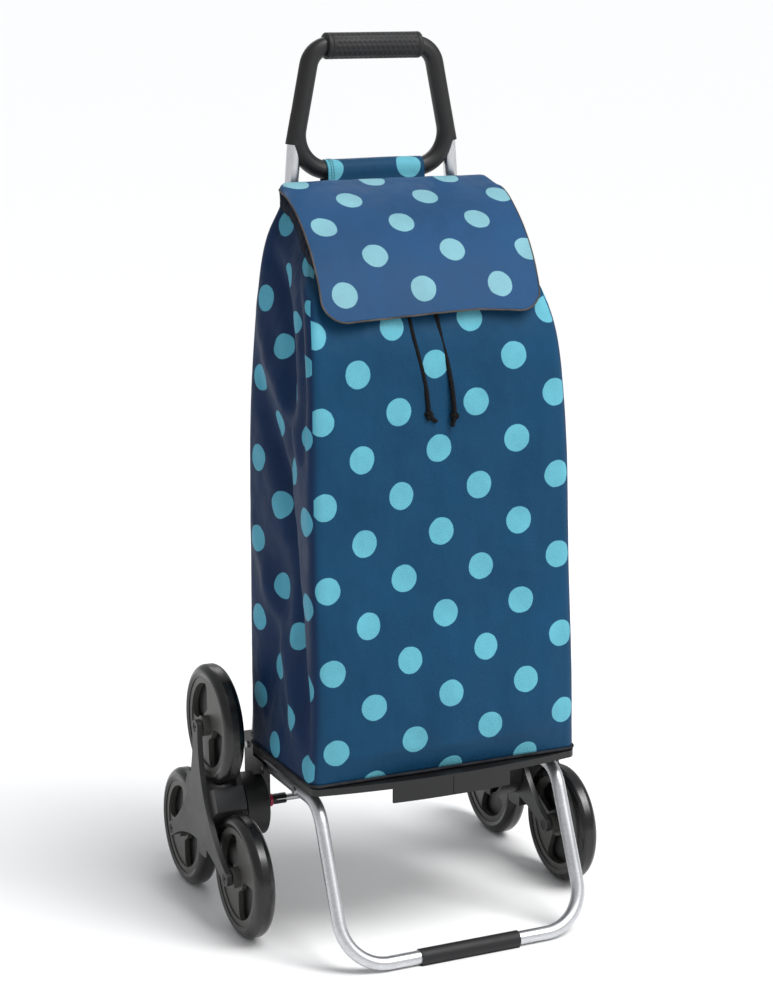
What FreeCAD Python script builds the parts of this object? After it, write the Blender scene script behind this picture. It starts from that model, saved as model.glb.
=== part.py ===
import FreeCAD, Part
import math
import os

V = FreeCAD.Vector

# A stair-climbing shopping trolley. Millimetres, +Z up, the front faces -Y, X runs to the right
# seen from the front. Sizes below are written from the axle's vertical plane (Y = 0); the whole
# model is then moved along Y so that the origin lies under the middle of its box.

# ---------------------------------------------------------------- wheels and clusters
WHEEL_R = 71.5
WHEEL_W = 25.0
TYRE_DEPTH = 14.0
RIM_W = 20.0
RIM_RING = 7.5
WEB_T = 17.0
WEB_BACKING_T = 2.0
WEB_HUB_R = 16.0
WEB_OPENING_DEG = 88.0
WEB_CORNER_R = 8.0
HUB_W = 34.0
HUB_R = 12.0
CLUSTER_R = 104.0
PIN_R = 4.0
PIN_HEAD_R = 6.0
PIN_HEAD_T = 2.5
RUNNING = 0.05
SNUG = 0.02

PLATE_GAP = 37.0
PLATE_T = 6.5
ARM_TIP_R = 8.5
STAR_WAIST_R = 34.0
CORE_R = 56.0
CORE_WHEEL_GAP = 4.5
NUT_R = 8.0
NUT_T = 6.0

# ---------------------------------------------------------------- axle and brackets
AXLE_R = 4.0
SIDE_GAP = 1.5
DRUM_R = 38.0
BRACKET_W = 21.5
BRACKET_FRONT_Y = -7.5
BRACKET_BACK_Y = 20.0
BRACKET_DROP = 36.5
BRACKET_INNER_DROP = 16.5
BRACKET_RISE = 84.0
BRACKET_STEP = 11.5
BRACKET_SCREW_DROP = 14.0
WHEEL_STAND = 44.5
WASHER_R = 8.0
WASHER_T = 3.0
COLLAR_R = 6.3
COLLAR_L = 18.0
COLLAR_SLOT = 3.0
DRUM_WALL = 4.0
DRUM_RECESS = 7.0
DRUM_INSET = 9.5
RIB_HALF_T = 2.0

# ---------------------------------------------------------------- bag
BAG_HALF_W = 166.0
BAG_DEPTH = 186.0
BAG_BACK_Y = -10.0
BAG_HEIGHT = 632.0
BAG_GAP = 1.0
FABRIC = 4.0
SEAM_GAP = 0.3
FRONT_BOW = 14.0
BOARD_T = 4.0
HEM_T = 6.0
HEM_H = 14.0
FLAP_HALF_W = 136.0
FLAP_T = 3.0
FLAP_CORNER_R = 16.0
STRAP_HALF_W = 60.5
STRAP_RISE = 2.0
STRAP_T = 2.5
STRAP_GAP = 0.6
LOOP_H = 28.0
CORD_R = 2.75
KNOT_R = 6.0
EYELET_R = 5.8
EYELET_T = 3.0

# ---------------------------------------------------------------- folding base
LEG_TUBE_R = 7.75
TUBE_WALL = 1.2
LEG_INSET = 15.0
HINGE_RISE = 54.5
HINGE_Y = -36.0
HINGE_ROD_R = 2.5
LEG_END = 11.0
KNEE_SETBACK = 22.5
KNEE_R = 34.0
FOOT_REACH = 56.0
FOOT_CORNER_R = 52.0
FOOT_HALF_L = 62.0
FOOT_SLEEVE_T = 1.55
FOOT_FLAT = 6.0
TRAY_CLEAR = 9.25
TRAY_T = 8.0
TRAY_OVER = 0.5
TRAY_BACK_Y = -26.0
TRAY_CORNER_R = 12.0
TRAY_WALL = 3.0
LIP_HALF_W = 73.5
LIP_DROP = 17.0
LIP_T = 3.0
EAR_T = 4.0
EAR_GAP = 0.75
EAR_R = 7.0
RIVET_Y = -122.0
RIVET_R = 2.5
RIVET_HEAD_R = 4.5
RIVET_HEAD_T = 1.5

# ---------------------------------------------------------------- uprights and handle
UPRIGHT_R = 8.0
UPRIGHT_Y = 9.7
UPRIGHT_TOP_X = 96.3
UPRIGHT_INSET = 10.3
UPRIGHT_FOOT_RISE = 44.5
HANDLE_RISE = 29.5
HANDLE_H = 139.5
HANDLE_R = 10.5
HANDLE_LOW_X = 102.4
HANDLE_HIGH_X = 74.6
HANDLE_LOW_BEND_R = 40.5
HANDLE_HIGH_BEND_R = 26.0
SOCKET_RISE = 30.0
SOCKET_L = 34.5
SOCKET_FOOT_R = 10.0
SOCKET_HEAD_R = 8.0
SOCKET_HEAD_X = 92.5
SOCKET_DEPTH = 12.5
GRIP_R = 15.0
GRIP_HALF_L = 58.8
SCREW_R = 2.0
SCREW_HEAD_R = 4.0
SCREW_HEAD_T = 2.0
SCREW_STAND = 0.5

# ---------------------------------------------------------------- worked-out places
RIM_R = WHEEL_R - TYRE_DEPTH
AXLE_Z = WHEEL_R + CLUSTER_R / 2
LOW_WHEEL_Y = CLUSTER_R * math.cos(math.radians(30))
HINGE_Z = AXLE_Z + HINGE_RISE
TRAY_BOTTOM = HINGE_Z + LEG_TUBE_R + TRAY_CLEAR
TRAY_TOP = TRAY_BOTTOM + TRAY_T
BAG_BOTTOM = TRAY_TOP + BAG_GAP
BAG_FRONT_Y = BAG_BACK_Y - BAG_DEPTH
MOUTH_Z = BAG_BOTTOM + BAG_HEIGHT
LEG_X = BAG_HALF_W - LEG_INSET
EAR_IN = LEG_X + LEG_TUBE_R + EAR_GAP
BRACKET_OUT = EAR_IN + EAR_T
BRACKET_IN = BRACKET_OUT - BRACKET_W
WHEEL_X = BRACKET_OUT + WHEEL_STAND
DRUM_OUT = WHEEL_X - PLATE_GAP / 2 - PLATE_T - SIDE_GAP
DRUM_IN = BRACKET_OUT - DRUM_INSET
UPRIGHT_FOOT_X = BRACKET_OUT - UPRIGHT_INSET
UPRIGHT_FOOT_Z = AXLE_Z + UPRIGHT_FOOT_RISE
HANDLE_Z = MOUTH_Z + HANDLE_RISE
GRIP_Z = HANDLE_Z + HANDLE_H
SOCKET_Z = HANDLE_Z + SOCKET_RISE
UPRIGHT_TOP_Z = SOCKET_Z + SOCKET_DEPTH
FOOT_Y = BAG_FRONT_Y - FOOT_REACH
FOOT_R = LEG_TUBE_R + FOOT_SLEEVE_T
FOOT_Z = FOOT_R - 0.3
REAR_Y = LOW_WHEEL_Y + WHEEL_R
FRONT_Y = FOOT_Y - FOOT_R
SHIFT_Y = -(REAR_Y + FRONT_Y) / 2
SIDES = {"left": -1, "right": 1}
WHEELS = {"top": 90.0, "front": -30.0, "rear": 210.0}
WEB_PHASE = {"left": 137.0, "right": 110.0}


# ---------------------------------------------------------------- helpers
def save(name, shape):
    """Write one sub-part, moved to the final frame."""
    moved = shape.copy()
    moved.translate(V(0, SHIFT_Y, 0))
    moved.exportStep("parts/" + name + ".step")


def rod_x(radius, x0, x1, y, z):
    """A cylinder along X."""
    low = min(x0, x1)
    return Part.makeCylinder(radius, abs(x1 - x0), V(low, y, z), V(1, 0, 0))


def rod_y(radius, y0, y1, x, z):
    """A cylinder along Y."""
    low = min(y0, y1)
    return Part.makeCylinder(radius, abs(y1 - y0), V(x, low, z), V(0, 1, 0))


def box(x0, x1, y0, y1, z0, z1):
    """A box between two X, two Y and two Z values, in any order."""
    low = V(min(x0, x1), min(y0, y1), min(z0, z1))
    return Part.makeBox(abs(x1 - x0), abs(y1 - y0), abs(z1 - z0), low)


def mirror_x(shape):
    return shape.mirror(V(0, 0, 0), V(1, 0, 0))


def for_side(shape, side):
    """Shapes are made for the right side (+X) and mirrored for the left."""
    return shape if side > 0 else mirror_x(shape)


def polar(radius, degrees, x=0.0):
    """A point in a wheel plane: 0 degrees is the front, 90 degrees is up."""
    angle = math.radians(degrees)
    return V(x, -radius * math.cos(angle), radius * math.sin(angle))


def route_edges(points, radius_at):
    """Straight runs joined by tangent arcs; radius_at gives each corner's radius."""
    edges = []
    start = points[0]
    for i in range(1, len(points) - 1):
        corner = points[i]
        before = (corner - points[i - 1]).normalize()
        after = (points[i + 1] - corner).normalize()
        half_turn = before.getAngle(after) / 2
        radius = radius_at(i, half_turn)
        reach = radius * math.tan(half_turn)
        arc_start = corner - before * reach
        arc_end = corner + after * reach
        inward = (after - before).normalize()
        middle = corner + inward * (radius / math.cos(half_turn) - radius)
        edges.append(Part.LineSegment(start, arc_start).toShape())
        edges.append(Part.Arc(arc_start, middle, arc_end).toShape())
        start = arc_end
    edges.append(Part.LineSegment(start, points[-1]).toShape())
    return edges


def sweep(edges, radius):
    """A round bar along a route."""
    path = Part.Wire(edges)
    start = path.OrderedVertexes[0].Point
    heading = path.OrderedEdges[0].tangentAt(path.OrderedEdges[0].FirstParameter)
    ring = Part.Wire([Part.Circle(start, heading, radius).toShape()])
    return path.makePipeShell([ring], True, False)


def prism(points, direction):
    """A flat outline pushed along a direction."""
    outline = Part.makePolygon(points + [points[0]])
    return Part.Face(outline).extrude(direction)


# ---------------------------------------------------------------- wheels
def tyre():
    """A rubber ring with a rounded tread, centred on the X axis."""
    half = WHEEL_W / 2
    tread = 4.0
    shoulder_r = RIM_R + 4.5
    bead = half - 1.5
    points = {
        "bead_a": V(-bead, RIM_R, 0),
        "side_a": V(-half, shoulder_r, 0),
        "curve_a": V(-half + 2.6, WHEEL_R - 3.4, 0),
        "tread_a": V(-tread, WHEEL_R, 0),
    }
    edges = [
        Part.LineSegment(points["bead_a"], points["side_a"]).toShape(),
        Part.Arc(points["side_a"], points["curve_a"], points["tread_a"]).toShape(),
    ]
    flip = {}
    for key, point in points.items():
        flip[key] = V(-point.x, point.y, 0)
    edges += [
        Part.LineSegment(points["tread_a"], flip["tread_a"]).toShape(),
        Part.Arc(flip["tread_a"], flip["curve_a"], flip["side_a"]).toShape(),
        Part.LineSegment(flip["side_a"], flip["bead_a"]).toShape(),
        Part.LineSegment(flip["bead_a"], points["bead_a"]).toShape(),
    ]
    return Part.Face(Part.Wire(edges)).revolve(V(0, 0, 0), V(1, 0, 0), 360)


def web_opening(middle_deg):
    """One kidney opening: an annulus sector with rounded corners."""
    outer_r = RIM_R - RIM_RING
    half = WEB_OPENING_DEG / 2
    depth = HUB_W
    start = -depth / 2
    corners = []
    for radius, sign in ((WEB_HUB_R, -1), (outer_r, -1), (outer_r, 1), (WEB_HUB_R, 1)):
        corners.append(polar(radius, middle_deg + sign * half, start))
    outer_mid = polar(outer_r, middle_deg, start)
    inner_mid = polar(WEB_HUB_R, middle_deg, start)
    wire = Part.Wire([
        Part.LineSegment(corners[0], corners[1]).toShape(),
        Part.Arc(corners[1], outer_mid, corners[2]).toShape(),
        Part.LineSegment(corners[2], corners[3]).toShape(),
        Part.Arc(corners[3], inner_mid, corners[0]).toShape(),
    ])
    solid = Part.Face(wire).extrude(V(depth, 0, 0))
    upright_edges = []
    for edge in solid.Edges:
        if abs(edge.Length - depth) < 0.01:
            upright_edges.append(edge)
    return solid.makeFillet(WEB_CORNER_R, upright_edges)


def rim(phase_deg):
    """Rim ring, web with two pockets in each face, hub and pin bore, centred on the X axis."""
    ring = rod_x(RIM_R, -RIM_W / 2, RIM_W / 2, 0, 0)
    ring = ring.cut(rod_x(RIM_R - RIM_RING, -RIM_W, RIM_W, 0, 0))
    web = rod_x(RIM_R - RIM_RING + 0.5, -WEB_T / 2, WEB_T / 2, 0, 0)
    for turn in (0, 180):
        web = web.cut(web_opening(phase_deg + turn))
    backing = rod_x(RIM_R - RIM_RING + 0.5, -WEB_BACKING_T / 2, WEB_BACKING_T / 2, 0, 0)
    hub = rod_x(HUB_R, -HUB_W / 2, HUB_W / 2, 0, 0)
    body = ring.fuse([web, backing, hub]).removeSplitter()
    return body.cut(rod_x(PIN_R + RUNNING, -HUB_W, HUB_W, 0, 0))


def wheel_centre(degrees, x):
    """The middle of a wheel of a cluster, in the plane at x."""
    return polar(CLUSTER_R, degrees, x) + V(0, 0, AXLE_Z)


def make_wheels():
    for side_name, side in SIDES.items():
        for place, degrees in WHEELS.items():
            centre = wheel_centre(degrees, side * WHEEL_X)
            name = side_name + "_" + place
            for part_name, shape in (("_tyre", tyre()), ("_rim", rim(WEB_PHASE[side_name]))):
                shape.translate(centre)
                save(name + part_name, shape)


# ---------------------------------------------------------------- clusters
def star_plate(x0):
    """A three-armed plate with hollow sides, pierced for the pins, starting at x0."""
    edges = []
    degrees = list(WHEELS.values())
    directions = sorted(angle % 360 for angle in degrees)
    for i, here in enumerate(directions):
        ahead = directions[(i + 1) % 3]
        gap_direction = here + 60
        tip = polar(CLUSTER_R, here, x0)
        next_tip = polar(CLUSTER_R, ahead, x0)
        leave = tip + polar(ARM_TIP_R, here + 90)
        arrive = next_tip + polar(ARM_TIP_R, ahead - 90)
        waist = polar(STAR_WAIST_R, gap_direction, x0)
        end = next_tip + polar(ARM_TIP_R, ahead)
        edges.append(Part.Arc(leave, waist, arrive).toShape())
        edges.append(Part.Arc(arrive, end, next_tip + polar(ARM_TIP_R, ahead + 90)).toShape())
    plate = Part.Face(Part.Wire(edges)).extrude(V(PLATE_T, 0, 0))
    for angle in directions:
        at = polar(CLUSTER_R, angle)
        plate = plate.cut(rod_x(PIN_R + SNUG, x0 - 1, x0 + PLATE_T + 1, at.y, at.z))
    return plate


def pin_head_pocket(shape, x0, x1):
    for angle in WHEELS.values():
        at = polar(CLUSTER_R, angle)
        shape = shape.cut(rod_x(PIN_HEAD_R + SNUG, x0, x1, at.y, at.z))
    return shape


def hub_block(x0, x1):
    """The block between the plates, hollowed round each wheel, bored for the axle."""
    block = rod_x(CORE_R, x0, x1, 0, 0)
    for angle in WHEELS.values():
        at = polar(CLUSTER_R, angle)
        block = block.cut(rod_x(WHEEL_R + CORE_WHEEL_GAP, x0 - 1, x1 + 1, at.y, at.z))
    block = block.cut(rod_x(AXLE_R + RUNNING, x0 - 1, x1 + 1, 0, 0))
    return block.cut(rod_x(NUT_R + 1.0, x1 - NUT_T - 1.0, x1 + 1, 0, 0))


def hex_nut(across_r, x0, thick, bore):
    points = []
    for i in range(6):
        points.append(polar(across_r, 60 * i, x0))
    nut = prism(points, V(thick, 0, 0))
    return nut.cut(rod_x(bore, x0 - 1, x0 + thick + 1, 0, 0))


def make_clusters():
    inner0 = WHEEL_X - PLATE_GAP / 2 - PLATE_T
    core0 = WHEEL_X - PLATE_GAP / 2
    core1 = WHEEL_X + PLATE_GAP / 2
    outer1 = core1 + PLATE_T
    inner = star_plate(inner0).cut(rod_x(AXLE_R + RUNNING, inner0 - 1, core0 + 1, 0, 0))
    inner = pin_head_pocket(inner, inner0 - 1, inner0 + PIN_HEAD_T)
    outer = pin_head_pocket(star_plate(core1), outer1 - PIN_HEAD_T, outer1 + 1)
    nut = hex_nut(NUT_R, core1 - NUT_T - 0.5, NUT_T, AXLE_R + SNUG)
    pins = []
    for angle in WHEELS.values():
        at = polar(CLUSTER_R, angle)
        shank = rod_x(PIN_R, inner0 + 0.5, outer1 - 0.5, at.y, at.z)
        head = rod_x(PIN_HEAD_R, outer1 - PIN_HEAD_T, outer1 - 0.5, at.y, at.z)
        tail = rod_x(PIN_HEAD_R, inner0 + 0.5, inner0 + PIN_HEAD_T, at.y, at.z)
        socket = rod_x(PIN_R / 2, outer1 - 2.0, outer1, at.y, at.z)
        pins.append(shank.fuse([head, tail]).cut(socket).removeSplitter())
    pieces = {
        "spider_inner": inner,
        "spider_core": hub_block(core0, core1),
        "spider_outer": outer,
        "wheel_pins": Part.makeCompound(pins),
        "axle_nut": nut,
    }
    for side_name, side in SIDES.items():
        for name, shape in pieces.items():
            placed = for_side(shape, side)
            placed.translate(V(0, 0, AXLE_Z))
            save(side_name + "_" + name, placed)


# ---------------------------------------------------------------- frame
def upright_axis_x(z):
    """X of the right upright's centre line at a height."""
    rise = (z - UPRIGHT_FOOT_Z) / (UPRIGHT_TOP_Z - UPRIGHT_FOOT_Z)
    return UPRIGHT_FOOT_X + rise * (UPRIGHT_TOP_X - UPRIGHT_FOOT_X)


def upright_solid(radius, z0, z1):
    """A round bar along the right upright's centre line."""
    low = V(upright_axis_x(z0), UPRIGHT_Y, z0)
    high = V(upright_axis_x(z1), UPRIGHT_Y, z1)
    along = high - low
    return Part.makeCylinder(radius, along.Length, low, along)


def bracket():
    """The right bracket: clamp for the upright, drum round the axle, ear for the hinge rod."""
    top = AXLE_Z + BRACKET_RISE
    step_x = BRACKET_OUT - BRACKET_STEP
    inner = box(BRACKET_IN, step_x, BRACKET_FRONT_Y, BRACKET_BACK_Y, AXLE_Z - BRACKET_INNER_DROP, top)
    outer = box(step_x, BRACKET_OUT, BRACKET_FRONT_Y, BRACKET_BACK_Y, AXLE_Z - BRACKET_DROP, top)
    drum = rod_x(DRUM_R, DRUM_IN, DRUM_OUT, 0, AXLE_Z)
    recess = rod_x(DRUM_R - DRUM_WALL, DRUM_IN - 1, DRUM_IN + DRUM_RECESS, 0, AXLE_Z)
    ribs = []
    for sign in (-1, 1):
        foot = V(DRUM_IN, 0, AXLE_Z - DRUM_R + DRUM_WALL / 2)
        tip = V(DRUM_IN, sign * (DRUM_R - DRUM_WALL / 2), AXLE_Z)
        side = V(0, RIB_HALF_T, 0)
        ribs.append(prism([foot - side, foot + side, tip + side, tip - side], V(DRUM_RECESS + 1, 0, 0)))
    ear = box(EAR_IN, BRACKET_OUT, HINGE_Y, BRACKET_FRONT_Y, HINGE_Z - EAR_R, HINGE_Z + EAR_R)
    ear_end = rod_x(EAR_R, EAR_IN, BRACKET_OUT, HINGE_Y, HINGE_Z)
    body = drum.cut(recess).fuse([inner, outer, ear, ear_end] + ribs).removeSplitter()
    body = body.cut(rod_x(AXLE_R + SNUG, BRACKET_IN - 1, DRUM_OUT + 1, 0, AXLE_Z))
    body = body.cut(upright_solid(UPRIGHT_R + RUNNING, UPRIGHT_FOOT_Z - 0.5, top + 20))
    body = body.cut(rod_x(HINGE_ROD_R + SNUG, EAR_IN - 1, BRACKET_OUT + 1, HINGE_Y, HINGE_Z))
    screw_z = top - BRACKET_SCREW_DROP
    return body.cut(rod_x(SCREW_R + SNUG, BRACKET_IN - 1, BRACKET_OUT + 1, UPRIGHT_Y, screw_z))


def upright():
    tube = upright_solid(UPRIGHT_R, UPRIGHT_FOOT_Z, UPRIGHT_TOP_Z)
    tube = tube.cut(upright_solid(UPRIGHT_R - TUBE_WALL, UPRIGHT_FOOT_Z - 5, UPRIGHT_TOP_Z + 5))
    low_z = AXLE_Z + BRACKET_RISE - BRACKET_SCREW_DROP
    tube = tube.cut(rod_x(SCREW_R + SNUG, 0, BRACKET_OUT, UPRIGHT_Y, low_z))
    high_z = SOCKET_Z + SOCKET_DEPTH / 2
    return tube.cut(rod_y(SCREW_R + SNUG, -50, 50, upright_axis_x(high_z), high_z))


def bracket_screw():
    """A screw along X through the right bracket and the upright in it, its head outside."""
    z = AXLE_Z + BRACKET_RISE - BRACKET_SCREW_DROP
    shank = rod_x(SCREW_R, BRACKET_IN + 1, BRACKET_OUT, UPRIGHT_Y, z)
    head = rod_x(SCREW_HEAD_R, BRACKET_OUT, BRACKET_OUT + SCREW_HEAD_T, UPRIGHT_Y, z)
    return shank.fuse(head).removeSplitter()


def handle_screw():
    """A screw along Y through the handle's right socket and the upright in it, its head behind."""
    z = SOCKET_Z + SOCKET_DEPTH / 2
    x = upright_axis_x(z)
    back = UPRIGHT_Y + HANDLE_R + SCREW_STAND
    shank = rod_y(SCREW_R, UPRIGHT_Y - UPRIGHT_R + TUBE_WALL, back, x, z)
    head = rod_y(SCREW_HEAD_R, back, back + SCREW_HEAD_T, x, z)
    return shank.fuse(head).removeSplitter()


def handle_frame():
    """A closed loop of round bar with wide bends, and sockets for the two uprights."""
    points = [
        V(0, UPRIGHT_Y, HANDLE_Z), V(HANDLE_LOW_X, UPRIGHT_Y, HANDLE_Z),
        V(HANDLE_HIGH_X, UPRIGHT_Y, GRIP_Z), V(0, UPRIGHT_Y, GRIP_Z),
    ]
    bends = [0, HANDLE_LOW_BEND_R, HANDLE_HIGH_BEND_R]
    half = sweep(route_edges(points, lambda i, half_turn: bends[i]), HANDLE_R)
    foot = V(upright_axis_x(SOCKET_Z), UPRIGHT_Y, SOCKET_Z)
    head = V(SOCKET_HEAD_X, UPRIGHT_Y, SOCKET_Z + SOCKET_L)
    along = head - foot
    socket = Part.makeCone(SOCKET_FOOT_R, SOCKET_HEAD_R, along.Length, foot, along)
    half = half.fuse(socket).removeSplitter()
    half = half.cut(upright_solid(UPRIGHT_R + SNUG, HANDLE_Z - 20, UPRIGHT_TOP_Z + 0.5))
    screw_z = SOCKET_Z + SOCKET_DEPTH / 2
    half = half.cut(rod_y(SCREW_R + SNUG, UPRIGHT_Y, UPRIGHT_Y + 30, upright_axis_x(screw_z), screw_z))
    return half.fuse(mirror_x(half)).removeSplitter()


def make_frame():
    parts = {"bracket": bracket(), "upright": upright()}
    for side_name, side in SIDES.items():
        for name, shape in parts.items():
            save(side_name + "_" + name, for_side(shape, side))
    end_x = WHEEL_X + PLATE_GAP / 2 - 0.5
    save("axle", rod_x(AXLE_R, -end_x, end_x, 0, AXLE_Z))
    washers = []
    collars = []
    screws = []
    handle_screws = []
    washer0 = BRACKET_IN - 0.5
    for side in (-1, 1):
        washer = rod_x(WASHER_R, washer0 - WASHER_T, washer0, 0, AXLE_Z)
        washer = washer.cut(rod_x(AXLE_R + SNUG, washer0 - 5, washer0 + 1, 0, AXLE_Z))
        collar1 = washer0 - WASHER_T - 0.3
        collar = rod_x(COLLAR_R, collar1 - COLLAR_L, collar1, 0, AXLE_Z)
        collar = collar.cut(rod_x(AXLE_R + SNUG, collar1 - 30, collar1 + 1, 0, AXLE_Z))
        slot_z0 = AXLE_Z - COLLAR_SLOT / 2
        slot = box(collar1 - COLLAR_L - 1, collar1 - 5, -9, 0, slot_z0, slot_z0 + COLLAR_SLOT)
        collar = collar.cut(slot)
        washers.append(for_side(washer, side))
        collars.append(for_side(collar, side))
        screws.append(for_side(bracket_screw(), side))
        handle_screws.append(for_side(handle_screw(), side))
    save("axle_washers", Part.makeCompound(washers))
    save("axle_collars", Part.makeCompound(collars))
    save("bracket_screws", Part.makeCompound(screws))
    save("handle_screws", Part.makeCompound(handle_screws))
    save("hinge_rod", rod_x(HINGE_ROD_R, -BRACKET_OUT, BRACKET_OUT, HINGE_Y, HINGE_Z))
    frame = handle_frame()
    save("handle_frame", frame)
    save("handle_grip", rod_x(GRIP_R, -GRIP_HALF_L, GRIP_HALF_L, UPRIGHT_Y, GRIP_Z).cut(frame))


# ---------------------------------------------------------------- folding base
def leg_loop():
    """One bent tube: two sides under the tray, two knees, a bar along the floor."""
    knee = V(LEG_X, BAG_FRONT_Y + KNEE_SETBACK, HINGE_Z)
    corner = V(LEG_X, FOOT_Y, FOOT_Z)
    back = V(LEG_X, HINGE_Y + LEG_END, HINGE_Z)
    points = [back, knee, corner]
    for point in (corner, knee, back):
        points.append(V(-point.x, point.y, point.z))
    radii = [0, KNEE_R, FOOT_CORNER_R, FOOT_CORNER_R, KNEE_R]
    edges = route_edges(points, lambda i, half_turn: radii[i])
    tube = sweep(edges, LEG_TUBE_R).cut(sweep(edges, LEG_TUBE_R - TUBE_WALL))
    tube = tube.cut(rod_x(HINGE_ROD_R + RUNNING, -LEG_X - 20, LEG_X + 20, HINGE_Y, HINGE_Z))
    return tube.cut(rod_x(RIVET_R + SNUG, -LEG_X - 20, LEG_X + 20, RIVET_Y, HINGE_Z))


def tray_outline(inset, z):
    """The tray's outline with a bowed front and notched rear corners."""
    half = BAG_HALF_W + TRAY_OVER - inset
    front = BAG_FRONT_Y - TRAY_OVER + inset
    back = TRAY_BACK_Y - inset
    notch_x = EAR_IN - 1.5 - inset
    notch_y = HINGE_Y - 12 - inset
    bow = front - FRONT_BOW
    corner = TRAY_CORNER_R - inset
    sagitta = corner * (1 - math.sqrt(0.5))
    right = [V(notch_x, back, z), V(notch_x, notch_y, z), V(half, notch_y, z), V(half, front + corner, z)]
    turn = [right[3], V(half - sagitta, front + sagitta, z), V(half - corner, front, z)]
    left = [V(-point.x, point.y, z) for point in reversed(right)]
    turn_back = [V(-point.x, point.y, z) for point in reversed(turn)]
    edges = []
    for i in range(3):
        edges.append(Part.LineSegment(right[i], right[i + 1]).toShape())
    edges.append(Part.Arc(*turn).toShape())
    edges.append(Part.Arc(turn[2], V(0, bow, z), turn_back[0]).toShape())
    edges.append(Part.Arc(*turn_back).toShape())
    for i in range(3):
        edges.append(Part.LineSegment(left[i], left[i + 1]).toShape())
    edges.append(Part.LineSegment(left[3], right[0]).toShape())
    return Part.Face(Part.Wire(edges))


def tray():
    """A shallow tray, open below, with a deep lip at the front and two lugs for the leg loop."""
    plate = tray_outline(0, TRAY_BOTTOM).extrude(V(0, 0, TRAY_T))
    hollow = tray_outline(TRAY_WALL, TRAY_BOTTOM - 1).extrude(V(0, 0, TRAY_T - TRAY_WALL + 1))
    plate = plate.cut(hollow)
    lip_block = box(-LIP_HALF_W, LIP_HALF_W, BAG_FRONT_Y - 40, 0, TRAY_BOTTOM - LIP_DROP, TRAY_TOP - 1)
    lip = tray_outline(0, TRAY_BOTTOM - 40).extrude(V(0, 0, 60))
    lip = lip.cut(tray_outline(LIP_T, TRAY_BOTTOM - 41).extrude(V(0, 0, 62))).common(lip_block)
    lip = lip.cut(box(-200, 200, BAG_FRONT_Y + 20, 0, 0, 400))
    pieces = [lip]
    for side in (-1, 1):
        lug = box(LEG_X - LEG_TUBE_R - 4.5, LEG_X - LEG_TUBE_R - 0.3, RIVET_Y - 9, RIVET_Y + 9,
                  HINGE_Z - 7, TRAY_TOP - 1)
        pieces.append(for_side(lug, side))
    rib = box(-BAG_HALF_W + 6, BAG_HALF_W - 6, -1.5, 1.5, TRAY_BOTTOM + 1, TRAY_TOP - 1)
    for y in (RIVET_Y + 40, RIVET_Y, RIVET_Y - 40):
        placed = rib.copy()
        placed.translate(V(0, y, 0))
        pieces.append(placed)
    body = plate.fuse(pieces).removeSplitter()
    seam = box(-0.4, 0.4, BAG_FRONT_Y - 60, BAG_FRONT_Y - TRAY_OVER - FRONT_BOW + 0.8, 0, TRAY_TOP - 3)
    body = body.cut(seam)
    return body.cut(rod_x(RIVET_R + SNUG, -BAG_HALF_W, BAG_HALF_W, RIVET_Y, HINGE_Z))


def make_base():
    save("leg_loop", leg_loop())
    save("tray", tray())
    sleeve = rod_x(FOOT_R, -FOOT_HALF_L, FOOT_HALF_L, FOOT_Y, FOOT_Z)
    sole = box(-FOOT_HALF_L, FOOT_HALF_L, FOOT_Y - FOOT_FLAT, FOOT_Y + FOOT_FLAT, 0, FOOT_Z)
    above_floor = box(-200, 200, FOOT_Y - 50, FOOT_Y + 50, 0, 60)
    sleeve = sleeve.common(above_floor).fuse(sole).removeSplitter()
    sleeve = sleeve.cut(rod_x(LEG_TUBE_R + SNUG, -FOOT_HALF_L - 1, FOOT_HALF_L + 1, FOOT_Y, FOOT_Z))
    save("foot_sleeve", sleeve)
    rivets = []
    for side in (-1, 1):
        inner = LEG_X - LEG_TUBE_R - 4.5
        outer = LEG_X + LEG_TUBE_R
        shank = rod_x(RIVET_R, inner - 0.5, outer + 0.5, RIVET_Y, HINGE_Z)
        out_head = rod_x(RIVET_HEAD_R, outer + 0.05, outer + RIVET_HEAD_T, RIVET_Y, HINGE_Z)
        in_head = rod_x(RIVET_HEAD_R, inner - RIVET_HEAD_T, inner - 0.05, RIVET_Y, HINGE_Z)
        rivets.append(for_side(shank.fuse([out_head, in_head]).removeSplitter(), side))
    save("leg_rivets", Part.makeCompound(rivets))


# ---------------------------------------------------------------- bag
# Each level of the bag: height share at the back and at the front, how much the half width and
# the back have come in from the bottom's in millimetres, and the front as a share of the depth.
BAG_LEVELS = [
    {"back": 0.0, "front": 0.0, "half": 0.0, "back_in": 0.0, "front_in": 0.0, "bow": FRONT_BOW},
    {"back": 0.355, "front": 0.355, "half": 4.0, "back_in": 0.0, "front_in": 0.0, "bow": 10.0},
    {"back": 0.78, "front": 0.768, "half": 12.0, "back_in": 2.0, "front_in": 0.0215, "bow": 4.0},
    {"back": 0.925, "front": 0.845, "half": 22.0, "back_in": 4.0, "front_in": 0.1075, "bow": 1.0},
    {"back": 0.985, "front": 0.889, "half": 36.0, "back_in": 8.0, "front_in": 0.2688, "bow": 0.0},
]


def bag_level(level):
    """Half width, back y, front y, back z, front z and bow of one level."""
    return {
        "half": BAG_HALF_W - level["half"],
        "yb": BAG_BACK_Y - level["back_in"],
        "yf": BAG_FRONT_Y + level["front_in"] * BAG_DEPTH,
        "zb": BAG_BOTTOM + FABRIC + level["back"] * BAG_HEIGHT,
        "zf": BAG_BOTTOM + FABRIC + level["front"] * BAG_HEIGHT,
        "bow": level["bow"],
    }


def loft(outlines):
    """A solid through flat outlines, with straight walls between them."""
    wires = []
    for points in outlines:
        wires.append(Part.makePolygon(points + [points[0]]))
    return Part.makeLoft(wires, True, True)


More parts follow.
